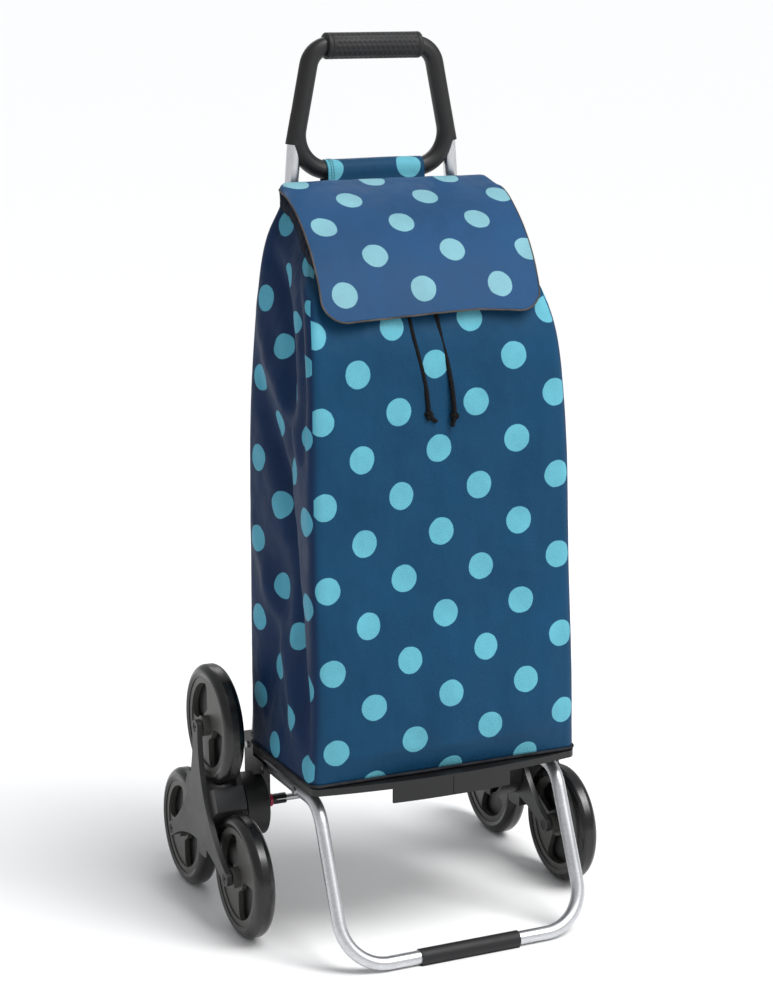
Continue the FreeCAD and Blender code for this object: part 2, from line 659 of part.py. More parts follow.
def bag_front():
    outlines = []
    for level in map(bag_level, BAG_LEVELS):
        half, y, z, bow = level["half"], level["yf"], level["zf"], level["bow"]
        outlines.append([
            V(-half, y, z), V(0, y - bow, z), V(half, y, z),
            V(half, y + FABRIC, z), V(0, y - bow + FABRIC, z), V(-half, y + FABRIC, z),
        ])
    return loft(outlines)


def bag_back():
    outlines = []
    for level in map(bag_level, BAG_LEVELS):
        half, y, z = level["half"], level["yb"], level["zb"]
        outlines.append([
            V(-half, y, z), V(half, y, z), V(half, y - FABRIC, z), V(-half, y - FABRIC, z),
        ])
    return loft(outlines)


def bag_side():
    """The right side panel, between the front and back panels."""
    outlines = []
    for level in map(bag_level, BAG_LEVELS):
        y0 = level["yf"] + FABRIC + SEAM_GAP
        y1 = level["yb"] - FABRIC - SEAM_GAP
        z0 = level["zf"]
        z1 = level["zb"]
        half = level["half"]
        outlines.append([
            V(half, y0, z0), V(half, y1, z1), V(half - FABRIC, y1, z1), V(half - FABRIC, y0, z0),
        ])
    return loft(outlines)


def bag_floor(inset, z, thick):
    half = BAG_HALF_W - inset
    front = BAG_FRONT_Y + inset
    back = BAG_BACK_Y - inset
    bow = V(0, front - FRONT_BOW, z)
    points = [V(half, back, z), V(half, front, z), bow, V(-half, front, z), V(-half, back, z)]
    return prism(points, V(0, 0, thick))


def bag_walls():
    """The four upright panels as one compound, for trimming what is sewn to them."""
    return Part.makeCompound([bag_front(), bag_back(), bag_side(), mirror_x(bag_side())])


def mouth_hem():
    """The gathered tunnel round the mouth, standing on the panels' upper edges."""
    top = bag_level(BAG_LEVELS[-1])
    outer = []
    inner = []
    for inset, ring in ((0.0, outer), (HEM_T, inner)):
        half = top["half"] - inset
        back = top["yb"] - inset
        front = top["yf"] + inset
        slope = (top["zb"] - top["zf"]) / (top["yb"] - top["yf"])
        zb = top["zf"] + slope * (back - top["yf"])
        zf = top["zf"] + slope * (front - top["yf"])
        ring += [V(half, front, zf), V(half, back, zb), V(-half, back, zb), V(-half, front, zf)]
    up = V(0, 0, HEM_H)
    return prism(outer, up).cut(prism(inner, up)).cut(bag_walls())


def flap_line():
    """The flap's side view, from its sewn edge forward and down."""
    ridge_z = MOUTH_Z + 21
    line = []
    for depth_share, drop in ((0.075, 0), (0.376, 17), (0.645, 47), (0.871, 86), (1.027, 129)):
        line.append(V(0, BAG_BACK_Y - depth_share * BAG_DEPTH, ridge_z - drop))
    return line


def flap():
    """A sheet bent along its length, with rounded front corners."""
    top = flap_line()
    under = []
    for i, point in enumerate(top):
        ahead = top[min(i + 1, len(top) - 1)]
        behind = top[max(i - 1, 0)]
        along = (ahead - behind).normalize()
        under.append(point + V(0, -along.z, along.y) * FLAP_T)
    placed = []
    for point in top + list(reversed(under)):
        placed.append(V(-FLAP_HALF_W, point.y, point.z))
    sheet = prism(placed, V(2 * FLAP_HALF_W, 0, 0))
    corner = FLAP_CORNER_R
    front = top[-1].y
    keep = box(-FLAP_HALF_W, FLAP_HALF_W, front - 20, top[0].y + 20, 0, MOUTH_Z + 100)
    rounded = []
    for edge in keep.Edges:
        upright = edge.BoundBox.ZLength > 100
        if upright and edge.BoundBox.YMax < front:
            rounded.append(edge)
    keep = keep.makeFillet(corner + 20, rounded)
    return sheet.common(keep)


def handle_strap():
    """A fabric band over the handle's lower bar, open below."""
    y0 = UPRIGHT_Y - HANDLE_R - STRAP_GAP
    y1 = UPRIGHT_Y + HANDLE_R + STRAP_GAP
    z0 = MOUTH_Z - 4
    z1 = HANDLE_Z + HANDLE_R + STRAP_RISE
    outer = box(-STRAP_HALF_W, STRAP_HALF_W, y0 - STRAP_T, y1 + STRAP_T, z0, z1 + STRAP_T)
    band = outer.cut(box(-STRAP_HALF_W - 1, STRAP_HALF_W + 1, y0, y1, z0 - 1, z1))
    sewn_y = bag_level(BAG_LEVELS[-2])["yb"]
    tail = [
        V(-STRAP_HALF_W, y0, z0 + 4), V(-STRAP_HALF_W, y0 - STRAP_T, z0 + 4),
        V(-STRAP_HALF_W, sewn_y - STRAP_T, z0 - 22), V(-STRAP_HALF_W, sewn_y, z0 - 22),
    ]
    band = band.fuse(prism(tail, V(2 * STRAP_HALF_W, 0, 0))).removeSplitter()
    return band.cut(bag_back())


def tube_loops():
    """Two fabric loops that hold the bag's back to the uprights."""
    z0 = BAG_BOTTOM + BAG_HEIGHT / 2
    x = upright_axis_x(z0 + LOOP_H / 2)
    reach = UPRIGHT_R + 1.5
    y0 = BAG_BACK_Y - FABRIC / 2
    loops = []
    for side in (-1, 1):
        outer = box(x - reach - 4, x + reach + 4, y0, UPRIGHT_Y + reach + 3, z0, z0 + LOOP_H)
        inner = box(x - reach - 2, x + reach + 2, y0 + 5, UPRIGHT_Y + reach, z0 - 1, z0 + LOOP_H + 1)
        loops.append(for_side(outer.cut(inner).cut(bag_back()), side))
    return Part.makeCompound(loops)


# The drawcords' free ends hang from the eyelets, down the front of the bag. Each bend is given
# as x, how far its middle stands off the front's middle line, and its share of the bag's height.
CORD_ROUTES = {
    "left": [
        (-50.0, 8.7, 0.89), (-50.0, 8.2, 0.8695), (-49.5, 5.6, 0.8465), (-48.0, 4.9, 0.8101),
        (-44.5, 2.9, 0.7698), (-38.0, 5.5, 0.7278), (-32.5, 5.8, 0.6859), (-30.5, 5.4, 0.6527),
    ],
    "right": [
        (-14.0, 8.7, 0.89), (-14.2, 8.2, 0.8695), (-15.0, 5.9, 0.8465), (-15.4, 5.4, 0.8101),
        (-11.5, 3.7, 0.769), (-6.5, 6.5, 0.7263), (-1.5, 7.2, 0.6843), (0.0, 7.3, 0.6472),
    ],
}


def cord_point(x, stand_off, share):
    """A bend of a cord, in front of the bag's face."""
    z = BAG_BOTTOM + FABRIC + share * BAG_HEIGHT
    levels = list(map(bag_level, BAG_LEVELS))
    for low, high in zip(levels, levels[1:]):
        if z <= high["zf"]:
            break
    rise = (z - low["zf"]) / (high["zf"] - low["zf"])
    low_y = low["yf"] - low["bow"]
    face_y = low_y + rise * (high["yf"] - high["bow"] - low_y)
    return V(x, face_y - stand_off, z)


def cord_radius(points):
    """The largest tangent arc that the two runs beside a corner allow."""
    def radius_at(i, half_turn):
        before = (points[i] - points[i - 1]).Length
        after = (points[i + 1] - points[i]).Length
        return 0.45 * min(before, after) / math.tan(half_turn)
    return radius_at


def make_cords():
    eyelets = []
    for side_name, bends in CORD_ROUTES.items():
        points = [cord_point(*bend) for bend in bends]
        edges = route_edges(points, cord_radius(points))
        cord = sweep(edges, CORD_R)
        length = sum(edge.Length for edge in edges)
        section = math.pi * CORD_R ** 2
        radii = []
        for edge in edges[1::2]:
            radii.append(round(edge.Curve.Radius, 1))
        ratio = cord.Volume / (section * length)
        print(side_name, "cord length", round(length, 1), "volume ratio", round(ratio, 4))
        print(side_name, "cord radii", radii)
        save(side_name + "_drawcord", cord)
        hanging = (points[-1] - points[-2]).normalize()
        knot = Part.makeCylinder(KNOT_R, 2 * KNOT_R, points[-1], hanging)
        save(side_name + "_cord_knot", knot.makeFillet(KNOT_R / 2 - 0.1, knot.Edges))
        start = points[0]
        heading = (points[1] - points[0]).normalize()
        ring = Part.makeCylinder(EYELET_R, EYELET_T, start - heading * EYELET_T, heading)
        bore = Part.makeCylinder(CORD_R - 0.6, 3 * EYELET_T, start - heading * 2 * EYELET_T, heading)
        ring = ring.cut(bore)
        eyelets.append(ring.cut(bag_front()))
    save("cord_eyelets", Part.makeCompound(eyelets))


def make_bag():
    save("bag_front", bag_front())
    save("bag_back", bag_back())
    save("bag_right_side", bag_side())
    save("bag_left_side", mirror_x(bag_side()))
    save("bag_floor", bag_floor(0, BAG_BOTTOM, FABRIC - SEAM_GAP))
    save("bag_base_board", bag_floor(FABRIC + 2, BAG_BOTTOM + FABRIC + SEAM_GAP, BOARD_T))
    save("bag_mouth_hem", mouth_hem())
    save("bag_flap", flap())
    save("bag_handle_strap", handle_strap())
    save("bag_tube_loops", tube_loops())
    make_cords()


os.makedirs("parts", exist_ok=True)
make_wheels()
make_clusters()
make_frame()
make_base()
make_bag()
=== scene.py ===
import math

import bmesh
import bpy
import numpy as np
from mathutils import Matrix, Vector


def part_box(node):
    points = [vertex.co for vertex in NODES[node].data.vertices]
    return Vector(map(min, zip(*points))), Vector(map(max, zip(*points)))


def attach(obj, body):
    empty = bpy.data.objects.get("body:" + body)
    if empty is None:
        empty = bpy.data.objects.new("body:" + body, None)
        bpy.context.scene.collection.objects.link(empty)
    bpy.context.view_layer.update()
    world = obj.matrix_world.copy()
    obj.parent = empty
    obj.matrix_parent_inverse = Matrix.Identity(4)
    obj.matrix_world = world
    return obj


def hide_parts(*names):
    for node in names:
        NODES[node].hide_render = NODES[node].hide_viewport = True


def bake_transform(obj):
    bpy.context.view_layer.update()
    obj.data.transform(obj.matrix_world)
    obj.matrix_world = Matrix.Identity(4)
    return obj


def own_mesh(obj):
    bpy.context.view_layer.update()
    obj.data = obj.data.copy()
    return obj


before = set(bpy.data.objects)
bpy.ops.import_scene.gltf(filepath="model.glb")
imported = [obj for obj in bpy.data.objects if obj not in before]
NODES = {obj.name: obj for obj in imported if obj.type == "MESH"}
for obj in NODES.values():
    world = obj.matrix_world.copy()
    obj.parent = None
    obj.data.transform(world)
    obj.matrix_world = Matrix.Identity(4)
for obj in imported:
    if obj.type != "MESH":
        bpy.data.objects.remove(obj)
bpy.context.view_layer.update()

MM = 0.001


def middle(node):
    low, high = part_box(node)
    return (low + high) / 2


# The axle's middle is the reference for the outlines below, which are written in millimetres
# with y = 0 in the axle's upright plane and z = 0 on the floor.
AXLE_Y = middle("axle").y


def place(x, y, z):
    """Millimetres from the axle's plane to metres in the shared frame."""
    return Vector((x * MM, y * MM + AXLE_Y, z * MM))


# ---------------------------------------------------------------- camera, floor and light
CAMERA_AT = (-1121.5, -2454.3, 1093.2)
CAMERA_HEADING = (0.40921, 0.88484, -0.22274)
SENSOR_HEIGHT = 36.0
LENS = 84.2
FLOOR_SIZE = 700.0


def make_camera():
    camera = bpy.data.cameras.new("camera")
    camera.sensor_fit = "VERTICAL"
    camera.sensor_height = SENSOR_HEIGHT
    camera.lens = LENS
    camera.clip_end = 900.0
    holder = bpy.data.objects.new("camera", camera)
    holder.location = place(*CAMERA_AT)
    holder.rotation_euler = Vector(CAMERA_HEADING).to_track_quat("-Z", "Y").to_euler()
    bpy.context.scene.collection.objects.link(holder)
    bpy.context.scene.camera = holder


def area_light(name, where, aim, size, power):
    light = bpy.data.lights.new(name, "AREA")
    light.shape = "RECTANGLE"
    light.size = size[0]
    light.size_y = size[1]
    light.energy = power
    holder = bpy.data.objects.new(name, light)
    holder.location = where
    holder.rotation_euler = (Vector(aim) - Vector(where)).to_track_quat("-Z", "Y").to_euler()
    bpy.context.scene.collection.objects.link(holder)


def make_studio():
    world = bpy.data.worlds.new("studio")
    bpy.context.scene.world = world
    world.use_nodes = True
    world.node_tree.nodes["Background"].inputs["Color"].default_value = (0.97, 0.98, 1.0, 1)
    world.node_tree.nodes["Background"].inputs["Strength"].default_value = 0.5
    overhead = bpy.data.lights.new("overhead", "SUN")
    overhead.energy = 2.5
    overhead.angle = math.radians(32)
    sun = bpy.data.objects.new("overhead", overhead)
    sun.rotation_euler = Vector((-0.35, 0.55, -1.15)).to_track_quat("-Z", "Y").to_euler()
    bpy.context.scene.collection.objects.link(sun)
    area_light("key", (1.5, -2.0, 2.3), (0, 0, 0.5), (1.0, 1.3), 30)
    area_light("back", (0.4, 2.2, 2.2), (0, 0, 0.6), (1.8, 1.0), 14)
    bpy.ops.mesh.primitive_plane_add(size=FLOOR_SIZE)
    floor = bpy.context.object
    floor.name = "floor"
    material = bpy.data.materials.new("floor")
    material.use_nodes = True
    shader = material.node_tree.nodes["Principled BSDF"]
    shader.inputs["Base Color"].default_value = (0.87, 0.87, 0.87, 1)
    shader.inputs["Roughness"].default_value = 0.7
    shader.inputs["Specular IOR Level"].default_value = 0.2
    floor.data.materials.append(material)
    bpy.context.scene.view_settings.view_transform = "Standard"


# ---------------------------------------------------------------- material building
class Graph:
    """Small helper to wire shader nodes."""

    def __init__(self, name):
        self.material = bpy.data.materials.new(name)
        self.material.use_nodes = True
        self.tree = self.material.node_tree
        self.shader = self.tree.nodes["Principled BSDF"]

    def node(self, kind, **settings):
        made = self.tree.nodes.new(kind)
        for key, value in settings.items():
            setattr(made, key, value)
        return made

    def feed(self, socket, value):
        if isinstance(value, bpy.types.NodeSocket):
            self.tree.links.new(value, socket)
        else:
            socket.default_value = value

    def math(self, operation, *values):
        made = self.node("ShaderNodeMath", operation=operation)
        for socket, value in zip(made.inputs, values):
            self.feed(socket, value)
        return made.outputs[0]

    def mix(self, share, first, second):
        made = self.node("ShaderNodeMix", data_type="RGBA")
        self.feed(made.inputs[0], share)
        self.feed(made.inputs[6], first)
        self.feed(made.inputs[7], second)
        return made.outputs[2]

    def span(self, value, low, high, out_low, out_high):
        made = self.node("ShaderNodeMapRange")
        for socket, number in zip(made.inputs, (value, low, high, out_low, out_high)):
            self.feed(socket, number)
        return made.outputs[0]

    def noise(self, vector, scale, detail=3.0, rough=0.5):
        made = self.node("ShaderNodeTexNoise")
        self.feed(made.inputs["Vector"], vector)
        made.inputs["Scale"].default_value = scale
        made.inputs["Detail"].default_value = detail
        made.inputs["Roughness"].default_value = rough
        return made.outputs[0]

    def place(self):
        return self.node("ShaderNodeTexCoord").outputs["Object"]

    def stretch(self, vector, scale):
        made = self.node("ShaderNodeMapping")
        self.feed(made.inputs["Vector"], vector)
        made.inputs["Scale"].default_value = scale
        return made.outputs[0]

    def bump(self, height, strength, distance):
        made = self.node("ShaderNodeBump")
        made.inputs["Strength"].default_value = strength
        made.inputs["Distance"].default_value = distance
        self.feed(made.inputs["Height"], height)
        self.tree.links.new(made.outputs[0], self.shader.inputs["Normal"])

    def set(self, name, value):
        self.feed(self.shader.inputs[name], value)


DOT_COLUMN = 48.4
DOT_PITCH = 93.4
DOT_R = 15.4


def fabric_material(name, navy, dot, shaded_side_navy, shaded_side_dot):
    """Navy twill with a staggered print of pale dots; the UV map is the cut cloth in decimetres.

    Cloth that faces to the side takes darker colours of its own. They are painted shade, not a different
    dye: they were chosen for the look of the shaded side.
    """
    g = Graph(name)
    uv = g.node("ShaderNodeUVMap", uv_map="cloth").outputs[0]
    split = g.node("ShaderNodeSeparateXYZ")
    g.feed(split.inputs[0], uv)
    along = g.math("MULTIPLY", split.outputs[0], 100.0)
    up = g.math("MULTIPLY", split.outputs[1], 100.0)
    wobble = g.noise(uv, 9.0, 2.0)
    distances = []
    for shift in (0.0, 0.5):
        column = g.math("ADD", g.math("DIVIDE", along, 2 * DOT_COLUMN), shift)
        row = g.math("ADD", g.math("DIVIDE", up, DOT_PITCH), shift)
        dx = g.math("MULTIPLY", g.math("SUBTRACT", column, g.math("ROUND", column)), 2 * DOT_COLUMN)
        dy = g.math("MULTIPLY", g.math("SUBTRACT", row, g.math("ROUND", row)), DOT_PITCH)
        squares = g.math("ADD", g.math("MULTIPLY", dx, dx), g.math("MULTIPLY", dy, dy))
        distances.append(g.math("SQRT", squares))
    nearest = g.math("MINIMUM", distances[0], distances[1])
    nearest = g.math("ADD", nearest, g.span(wobble, 0.3, 0.7, -0.3, 0.3))
    is_dot = g.span(nearest, DOT_R - 0.35, DOT_R + 0.35, 1.0, 0.0)
    twill = g.math("SINE", g.math("MULTIPLY", g.math("ADD", along, g.math("MULTIPLY", up, 0.8)), 2.4))
    yarn = g.math("SINE", g.math("MULTIPLY", g.math("SUBTRACT", along, up), 4.1))
    weave = g.math("ADD", g.math("MULTIPLY", twill, 0.7), g.math("MULTIPLY", yarn, 0.3))
    fibre = g.noise(g.stretch(uv, (60, 9, 1)), 5.0, 5.0, 0.7)
    cloudy = g.noise(uv, 1.1, 4.0, 0.6)
    # Painted shade: cloth whose normal points along x gets the darker side colours.
    facing = g.node("ShaderNodeSeparateXYZ")
    g.feed(facing.inputs[0], g.node("ShaderNodeTexCoord").outputs["Normal"])
    side_shade_mask = g.span(g.math("ABSOLUTE", facing.outputs[0]), 0.45, 0.8, 0.0, 1.0)
    ground = g.mix(side_shade_mask, navy + (1,), shaded_side_navy + (1,))
    spot = g.mix(side_shade_mask, dot + (1,), shaded_side_dot + (1,))
    printed = g.mix(is_dot, ground, spot)
    threads = g.math("ADD", g.span(weave, -1, 1, 0.86, 1.14), g.span(fibre, 0.3, 0.7, -0.16, 0.16))
    shade = g.math("MULTIPLY", g.span(cloudy, 0.3, 0.7, 0.86, 1.12), threads)
    toned = g.node("ShaderNodeMix", data_type="RGBA", blend_type="MULTIPLY")
    toned.inputs[0].default_value = 1.0
    g.feed(toned.inputs[6], printed)
    combine = g.node("ShaderNodeCombineColor")
    for socket in combine.inputs:
        g.feed(socket, shade)
    g.feed(toned.inputs[7], combine.outputs[0])
    g.set("Base Color", toned.outputs[2])
    g.set("Roughness", g.span(cloudy, 0.3, 0.7, 0.45, 0.6))
    g.set("Sheen Weight", 0.02)
    g.set("Sheen Roughness", 0.5)
    g.set("Sheen Tint", (0.45, 0.7, 1.0, 1))
    g.set("Specular IOR Level", 0.12)
    puckers = g.noise(uv, 5.0, 4.0, 0.6)
    creases = g.noise(g.stretch(uv, (1.6, 0.55, 1)), 1.0, 3.0, 0.55)
    height = g.math("ADD", g.math("MULTIPLY", weave, 0.05), g.math("MULTIPLY", puckers, 0.35))
    height = g.math("ADD", height, g.math("MULTIPLY", creases, 2.2))
    g.bump(height, 0.5, 0.0035)
    return g.material


def plastic_material(name, color, rough=(0.38, 0.52), grain=900.0, strength=0.12, pocket_shade_plane=None):
    """Moulded plastic: fine grain, uneven gloss and faint scuffs.

    The last argument is how far from the middle, in metres, the floors of a wheel's pockets lie; those
    floors get painted shade, near-black.
    """
    g = Graph(name)
    at = g.place()
    grain_height = g.noise(at, grain, 2.0)
    patches = g.noise(at, 14.0, 5.0, 0.65)
    scuffs = g.noise(g.stretch(at, (30, 220, 60)), 3.0, 6.0, 0.75)
    light = tuple(min(1.0, c * 1.5 + 0.004) for c in color)
    share = g.math("ADD", g.span(patches, 0.35, 0.7, 0.0, 0.4), g.span(scuffs, 0.62, 0.75, 0.0, 0.5))
    tone = g.mix(share, color + (1,), light + (1,))
    # Painted shade: the wheel pockets' floors turn near-black, standing in for the shade inside the rim's
    # openings.
    if pocket_shade_plane is not None:
        split = g.node("ShaderNodeSeparateXYZ")
        g.feed(split.inputs[0], at)
        away = g.math("ABSOLUTE", g.math("SUBTRACT", g.math("ABSOLUTE", split.outputs[0]), pocket_shade_plane))
        tone = g.mix(g.span(away, 0.0012, 0.0035, 0.0, 1.0), (0.003, 0.003, 0.003, 1), tone)
    g.set("Base Color", tone)
    g.set("Specular IOR Level", 0.42)
    g.set("Roughness", g.span(patches, 0.3, 0.7, rough[0], rough[1]))
    g.bump(grain_height, strength, 0.0004)
    return g.material


def tyre_material():
    """Solid rubber: soft sheen, dusty towards the tread and fine moulding marks."""
    g = Graph("tyre_rubber")
    at = g.place()
    patches = g.noise(at, 22.0, 5.0, 0.6)
    dust = g.noise(at, 160.0, 4.0, 0.7)
    share = g.math("MULTIPLY", g.span(dust, 0.45, 0.75, 0.0, 1.0), g.span(patches, 0.4, 0.7, 0.1, 0.6))
    g.set("Base Color", g.mix(share, (0.004, 0.004, 0.004, 1), (0.022, 0.021, 0.02, 1)))
    g.set("Roughness", g.span(patches, 0.3, 0.7, 0.2, 0.32))
    g.bump(dust, 0.1, 0.0005)
    return g.material


def metal_material(name, color, rough, stretch):
    """Drawn or plated metal with fine lines along the stretch direction."""
    g = Graph(name)
    at = g.place()
    lines = g.noise(g.stretch(at, stretch), 6.0, 6.0, 0.75)
    patches = g.noise(at, 18.0, 4.0, 0.6)
    dark = tuple(c * 0.8 for c in color)
    g.set("Base Color", g.mix(g.span(lines, 0.35, 0.65, 0, 1), color + (1,), dark + (1,)))
    g.set("Metallic", 1.0)
    uneven = g.span(patches, 0.3, 0.7, rough[0], rough[1])
    g.set("Roughness", g.math("ADD", uneven, g.span(lines, 0.3, 0.7, 0, 0.08)))
    g.bump(lines, 0.06, 0.0003)
    return g.material


def cord_material():
    """Black braid with a few pale flecks."""
    g = Graph("cord_braid")
    at = g.place()
    flecks = g.noise(g.stretch(at, (900, 900, 260)), 1.0, 2.0)
    share = g.span(flecks, 0.66, 0.72, 0.0, 1.0)
    g.set("Base Color", g.mix(share, (0.004, 0.004, 0.005, 1), (0.025, 0.023, 0.016, 1)))
    g.set("Roughness", 0.8)
    g.set("Specular IOR Level", 0.15)
    g.bump(g.noise(g.stretch(at, (1200, 1200, 500)), 1.0, 3.0), 0.6, 0.0006)
    return g.material


def tape_material(name, color):
    """Ribbed woven tape or thread."""
    g = Graph(name)
    at = g.place()
    ribs = g.noise(g.stretch(at, (1400, 1400, 1400)), 1.0, 3.0)
    patches = g.noise(at, 40.0, 4.0)
    light = tuple(min(1.0, c * 1.7 + 0.01) for c in color)
    g.set("Base Color", g.mix(g.span(patches, 0.35, 0.65, 0, 1), color + (1,), light + (1,)))
    g.set("Roughness", 0.78)
    g.set("Specular IOR Level", 0.2)
    g.bump(ribs, 0.5, 0.0005)
    return g.material


MATERIALS = {}


def make_materials():
    navy = (0.0045, 0.047, 0.108)
    dot = (0.108, 0.375, 0.465)
    # The side colours below are painted shade for the side panels, not a different cloth.
    shaded_side_navy = (0.004, 0.02, 0.066)
    shaded_side_dot = (0.075, 0.32, 0.44)
    MATERIALS["fabric"] = fabric_material("spotted_twill", navy, dot, shaded_side_navy, shaded_side_dot)
    # Painted light: the flap's lighter navy and dots are a lit copy of the twill, standing for the top light
    # and sheen on the flap that faces up.
    lit_flap_navy = (0.012, 0.058, 0.145)
    lit_flap_dot = (0.18, 0.38, 0.44)
    MATERIALS["flap"] = fabric_material("lit_flap_twill", lit_flap_navy, lit_flap_dot, lit_flap_navy, lit_flap_dot)
    MATERIALS["black"] = plastic_material("black_plastic", (0.006, 0.006, 0.0065))
    MATERIALS["cluster"] = plastic_material("cluster_plastic", (0.03, 0.03, 0.031), (0.32, 0.5), 700.0, 0.14)
    rim_gray = (0.06, 0.059, 0.054)
    rim_middle = abs(middle("left_front_rim").x)
    MATERIALS["rim"] = plastic_material("rim_plastic", rim_gray, (0.34, 0.5), 800.0, 0.16, rim_middle)
    MATERIALS["tyre"] = tyre_material()
    MATERIALS["rubber"] = plastic_material("grip_rubber", (0.006, 0.006, 0.007), (0.5, 0.68), 1200.0, 0.3)
    MATERIALS["tube"] = metal_material("drawn_aluminium", (0.74, 0.75, 0.77), (0.2, 0.32), (90, 90, 12))
    MATERIALS["leg"] = metal_material("bent_aluminium", (0.68, 0.69, 0.71), (0.3, 0.42), (12, 60, 60))
    MATERIALS["steel"] = metal_material("plated_steel", (0.5, 0.5, 0.5), (0.28, 0.42), (12, 200, 200))
    MATERIALS["red"] = plastic_material("red_washer", (0.42, 0.01, 0.05), (0.3, 0.45))
    MATERIALS["cord"] = cord_material()
    MATERIALS["tape"] = tape_material("black_tape", (0.008, 0.009, 0.012))
    MATERIALS["hem"] = tape_material("gathered_hem", (0.003, 0.006, 0.014))
    MATERIALS["edge"] = tape_material("overlocked_edge", (0.05, 0.042, 0.036))


def node_finish(name):
    """Which material a carried-over node takes."""
    if name.endswith("_tyre"):
        return "tyre"
    if name.endswith("_rim"):
        return "rim"
    if "spider" in name:
        return "cluster"
    if name.endswith("_upright"):
        return "tube"
    if name == "leg_loop":
        return "leg"
    if name == "axle_washers":
        return "red"
    if name in ("foot_sleeve", "handle_grip"):
        return "rubber"
    if any(word in name for word in ("pin", "collars")):
        return "black"
    if any(word in name for word in ("axle", "rod", "nut", "screws", "rivets")):
        return "steel"
    if "cord" in name:
        return "cord"
    if name.startswith("bag_"):
        return "tape"
    return "black"


def finish_nodes():
    for name, holder in NODES.items():
        holder.data.materials.clear()
        holder.data.materials.append(MATERIALS[node_finish(name)])


# ---------------------------------------------------------------- mesh helpers
def mesh_object(name, vertices, faces, material, uv=None):
    mesh = bpy.data.meshes.new(name)
    mesh.from_pydata([tuple(v) for v in vertices], [], faces)
    if uv is not None:
        layer = mesh.uv_layers.new(name="cloth")
        for polygon in mesh.polygons:
            for loop, corner in zip(polygon.loop_indices, uv[polygon.index]):
                layer.data[loop].uv = corner
    mesh.materials.append(MATERIALS[material])
    mesh.polygons.foreach_set("use_smooth", [True] * len(mesh.polygons))
    mesh.update()
    holder = bpy.data.objects.new(name, mesh)
    bpy.context.scene.collection.objects.link(holder)
    return holder


def apply_modifiers(holder):
    graph = bpy.context.evaluated_depsgraph_get()
    mesh = bpy.data.meshes.new_from_object(holder.evaluated_get(graph))
    holder.modifiers.clear()
    holder.data = mesh
    return holder


def thicken(holder, thickness, offset=-1.0):
    modifier = holder.modifiers.new("thickness", "SOLIDIFY")
    modifier.thickness = thickness
    modifier.offset = offset
    return apply_modifiers(holder)


def tube_along(name, points, radius, material, sides=10, closed=False):
    """A round bead along a polyline of metres, as a mesh."""
    curve = bpy.data.curves.new(name, "CURVE")
    curve.dimensions = "3D"
    curve.bevel_depth = radius
    curve.bevel_resolution = max(1, sides // 4)
    curve.use_fill_caps = True
    spline = curve.splines.new("POLY")
    spline.points.add(len(points) - 1)
    for target, point in zip(spline.points, points):
        target.co = (point[0], point[1], point[2], 1)
    spline.use_cyclic_u = closed
    bead = bpy.data.objects.new(name, curve)
    bpy.context.scene.collection.objects.link(bead)
    graph = bpy.context.evaluated_depsgraph_get()
    mesh = bpy.data.meshes.new_from_object(bead.evaluated_get(graph))
    bpy.data.objects.remove(bead)
    mesh.materials.clear()
    mesh.materials.append(MATERIALS[material])
    mesh.polygons.foreach_set("use_smooth", [True] * len(mesh.polygons))
    holder = bpy.data.objects.new(name, mesh)
    bpy.context.scene.collection.objects.link(holder)
    return holder


def resample(points, spacing):
    """Points at an even spacing along a polyline."""
    points = np.array(points, float)
    runs = np.linalg.norm(np.diff(points, axis=0), axis=1)
    travelled = np.concatenate([[0], np.cumsum(runs)])
    count = max(2, int(travelled[-1] / spacing) + 1)
    marks = np.linspace(0, travelled[-1], count)
    return np.stack([np.interp(marks, travelled, points[:, k]) for k in range(3)], axis=1)


# ---------------------------------------------------------------- bag body
# Corner paths of the bag, from the floor up: height and x, y of each upright corner.
# The filled bag leans a little to its left (-X) towards the top.
BAG_PATHS = {
    "front_left": [(-167, -194, 206), (-166, -200, 263), (-167, -201, 431), (-168, -200, 617),
                   (-167, -197, 695), (-160, -180, 738), (-140, -148, 768)],
    "front_right": [(167, -194, 206), (163, -199, 263), (155, -200, 431), (146, -199, 617),
                    (136, -196, 695), (126, -180, 738), (112, -148, 768)],
    "back_right": [(167, -9, 206), (164, -9, 263), (158, -10, 431), (152, -12, 617),
                   (146, -14, 712), (136, -15, 785), (118, -17, 832)],
    "back_left": [(-168, -9, 206), (-168, -9, 263), (-168, -10, 431), (-166, -12, 617),
                  (-159, -14, 716), (-150, -15, 785), (-131, -17, 832)],
}
BAG_MARKS = [0.0, 0.085, 0.33, 0.60, 0.735, 0.85, 1.0]
CORNER_R = 13.0
BAG_CLOTH_T = 1.2
FLAP_CLOTH_T = 1.3
ROWS = 150
SPLIT_Z = 640.0
PANELS = [
    ("front", "front_left", "front_right", 72),
    ("right", "front_right", "back_right", 46),
    ("back", "back_right", "back_left", 60),
    ("left", "back_left", "front_left", 46),
]

# Soft folds of a side panel: points (distance back from the front corner, height), how deep
# the fold goes in (+) or stands out (-), and how wide it is.
SIDE_FOLDS = [
    ([(160, 640), (128, 575), (98, 530), (78, 470), (54, 378), (36, 290), (20, 222)], 15.0, 16.0),
    ([(176, 470), (134, 392), (92, 336), (60, 280), (30, 226)], -7.0, 15.0),
    ([(168, 720), (140, 672), (96, 625), (58, 600), (30, 560)], -8.0, 17.0),
    ([(150, 790), (110, 742), (86, 690), (74, 620), (70, 560)], 12.0, 17.0),
    ([(40, 760), (30, 700), (22, 640), (26, 560)], 6.0, 11.0),
    ([(110, 470), (112, 400), (128, 330), (140, 240)], 8.0, 22.0),
]


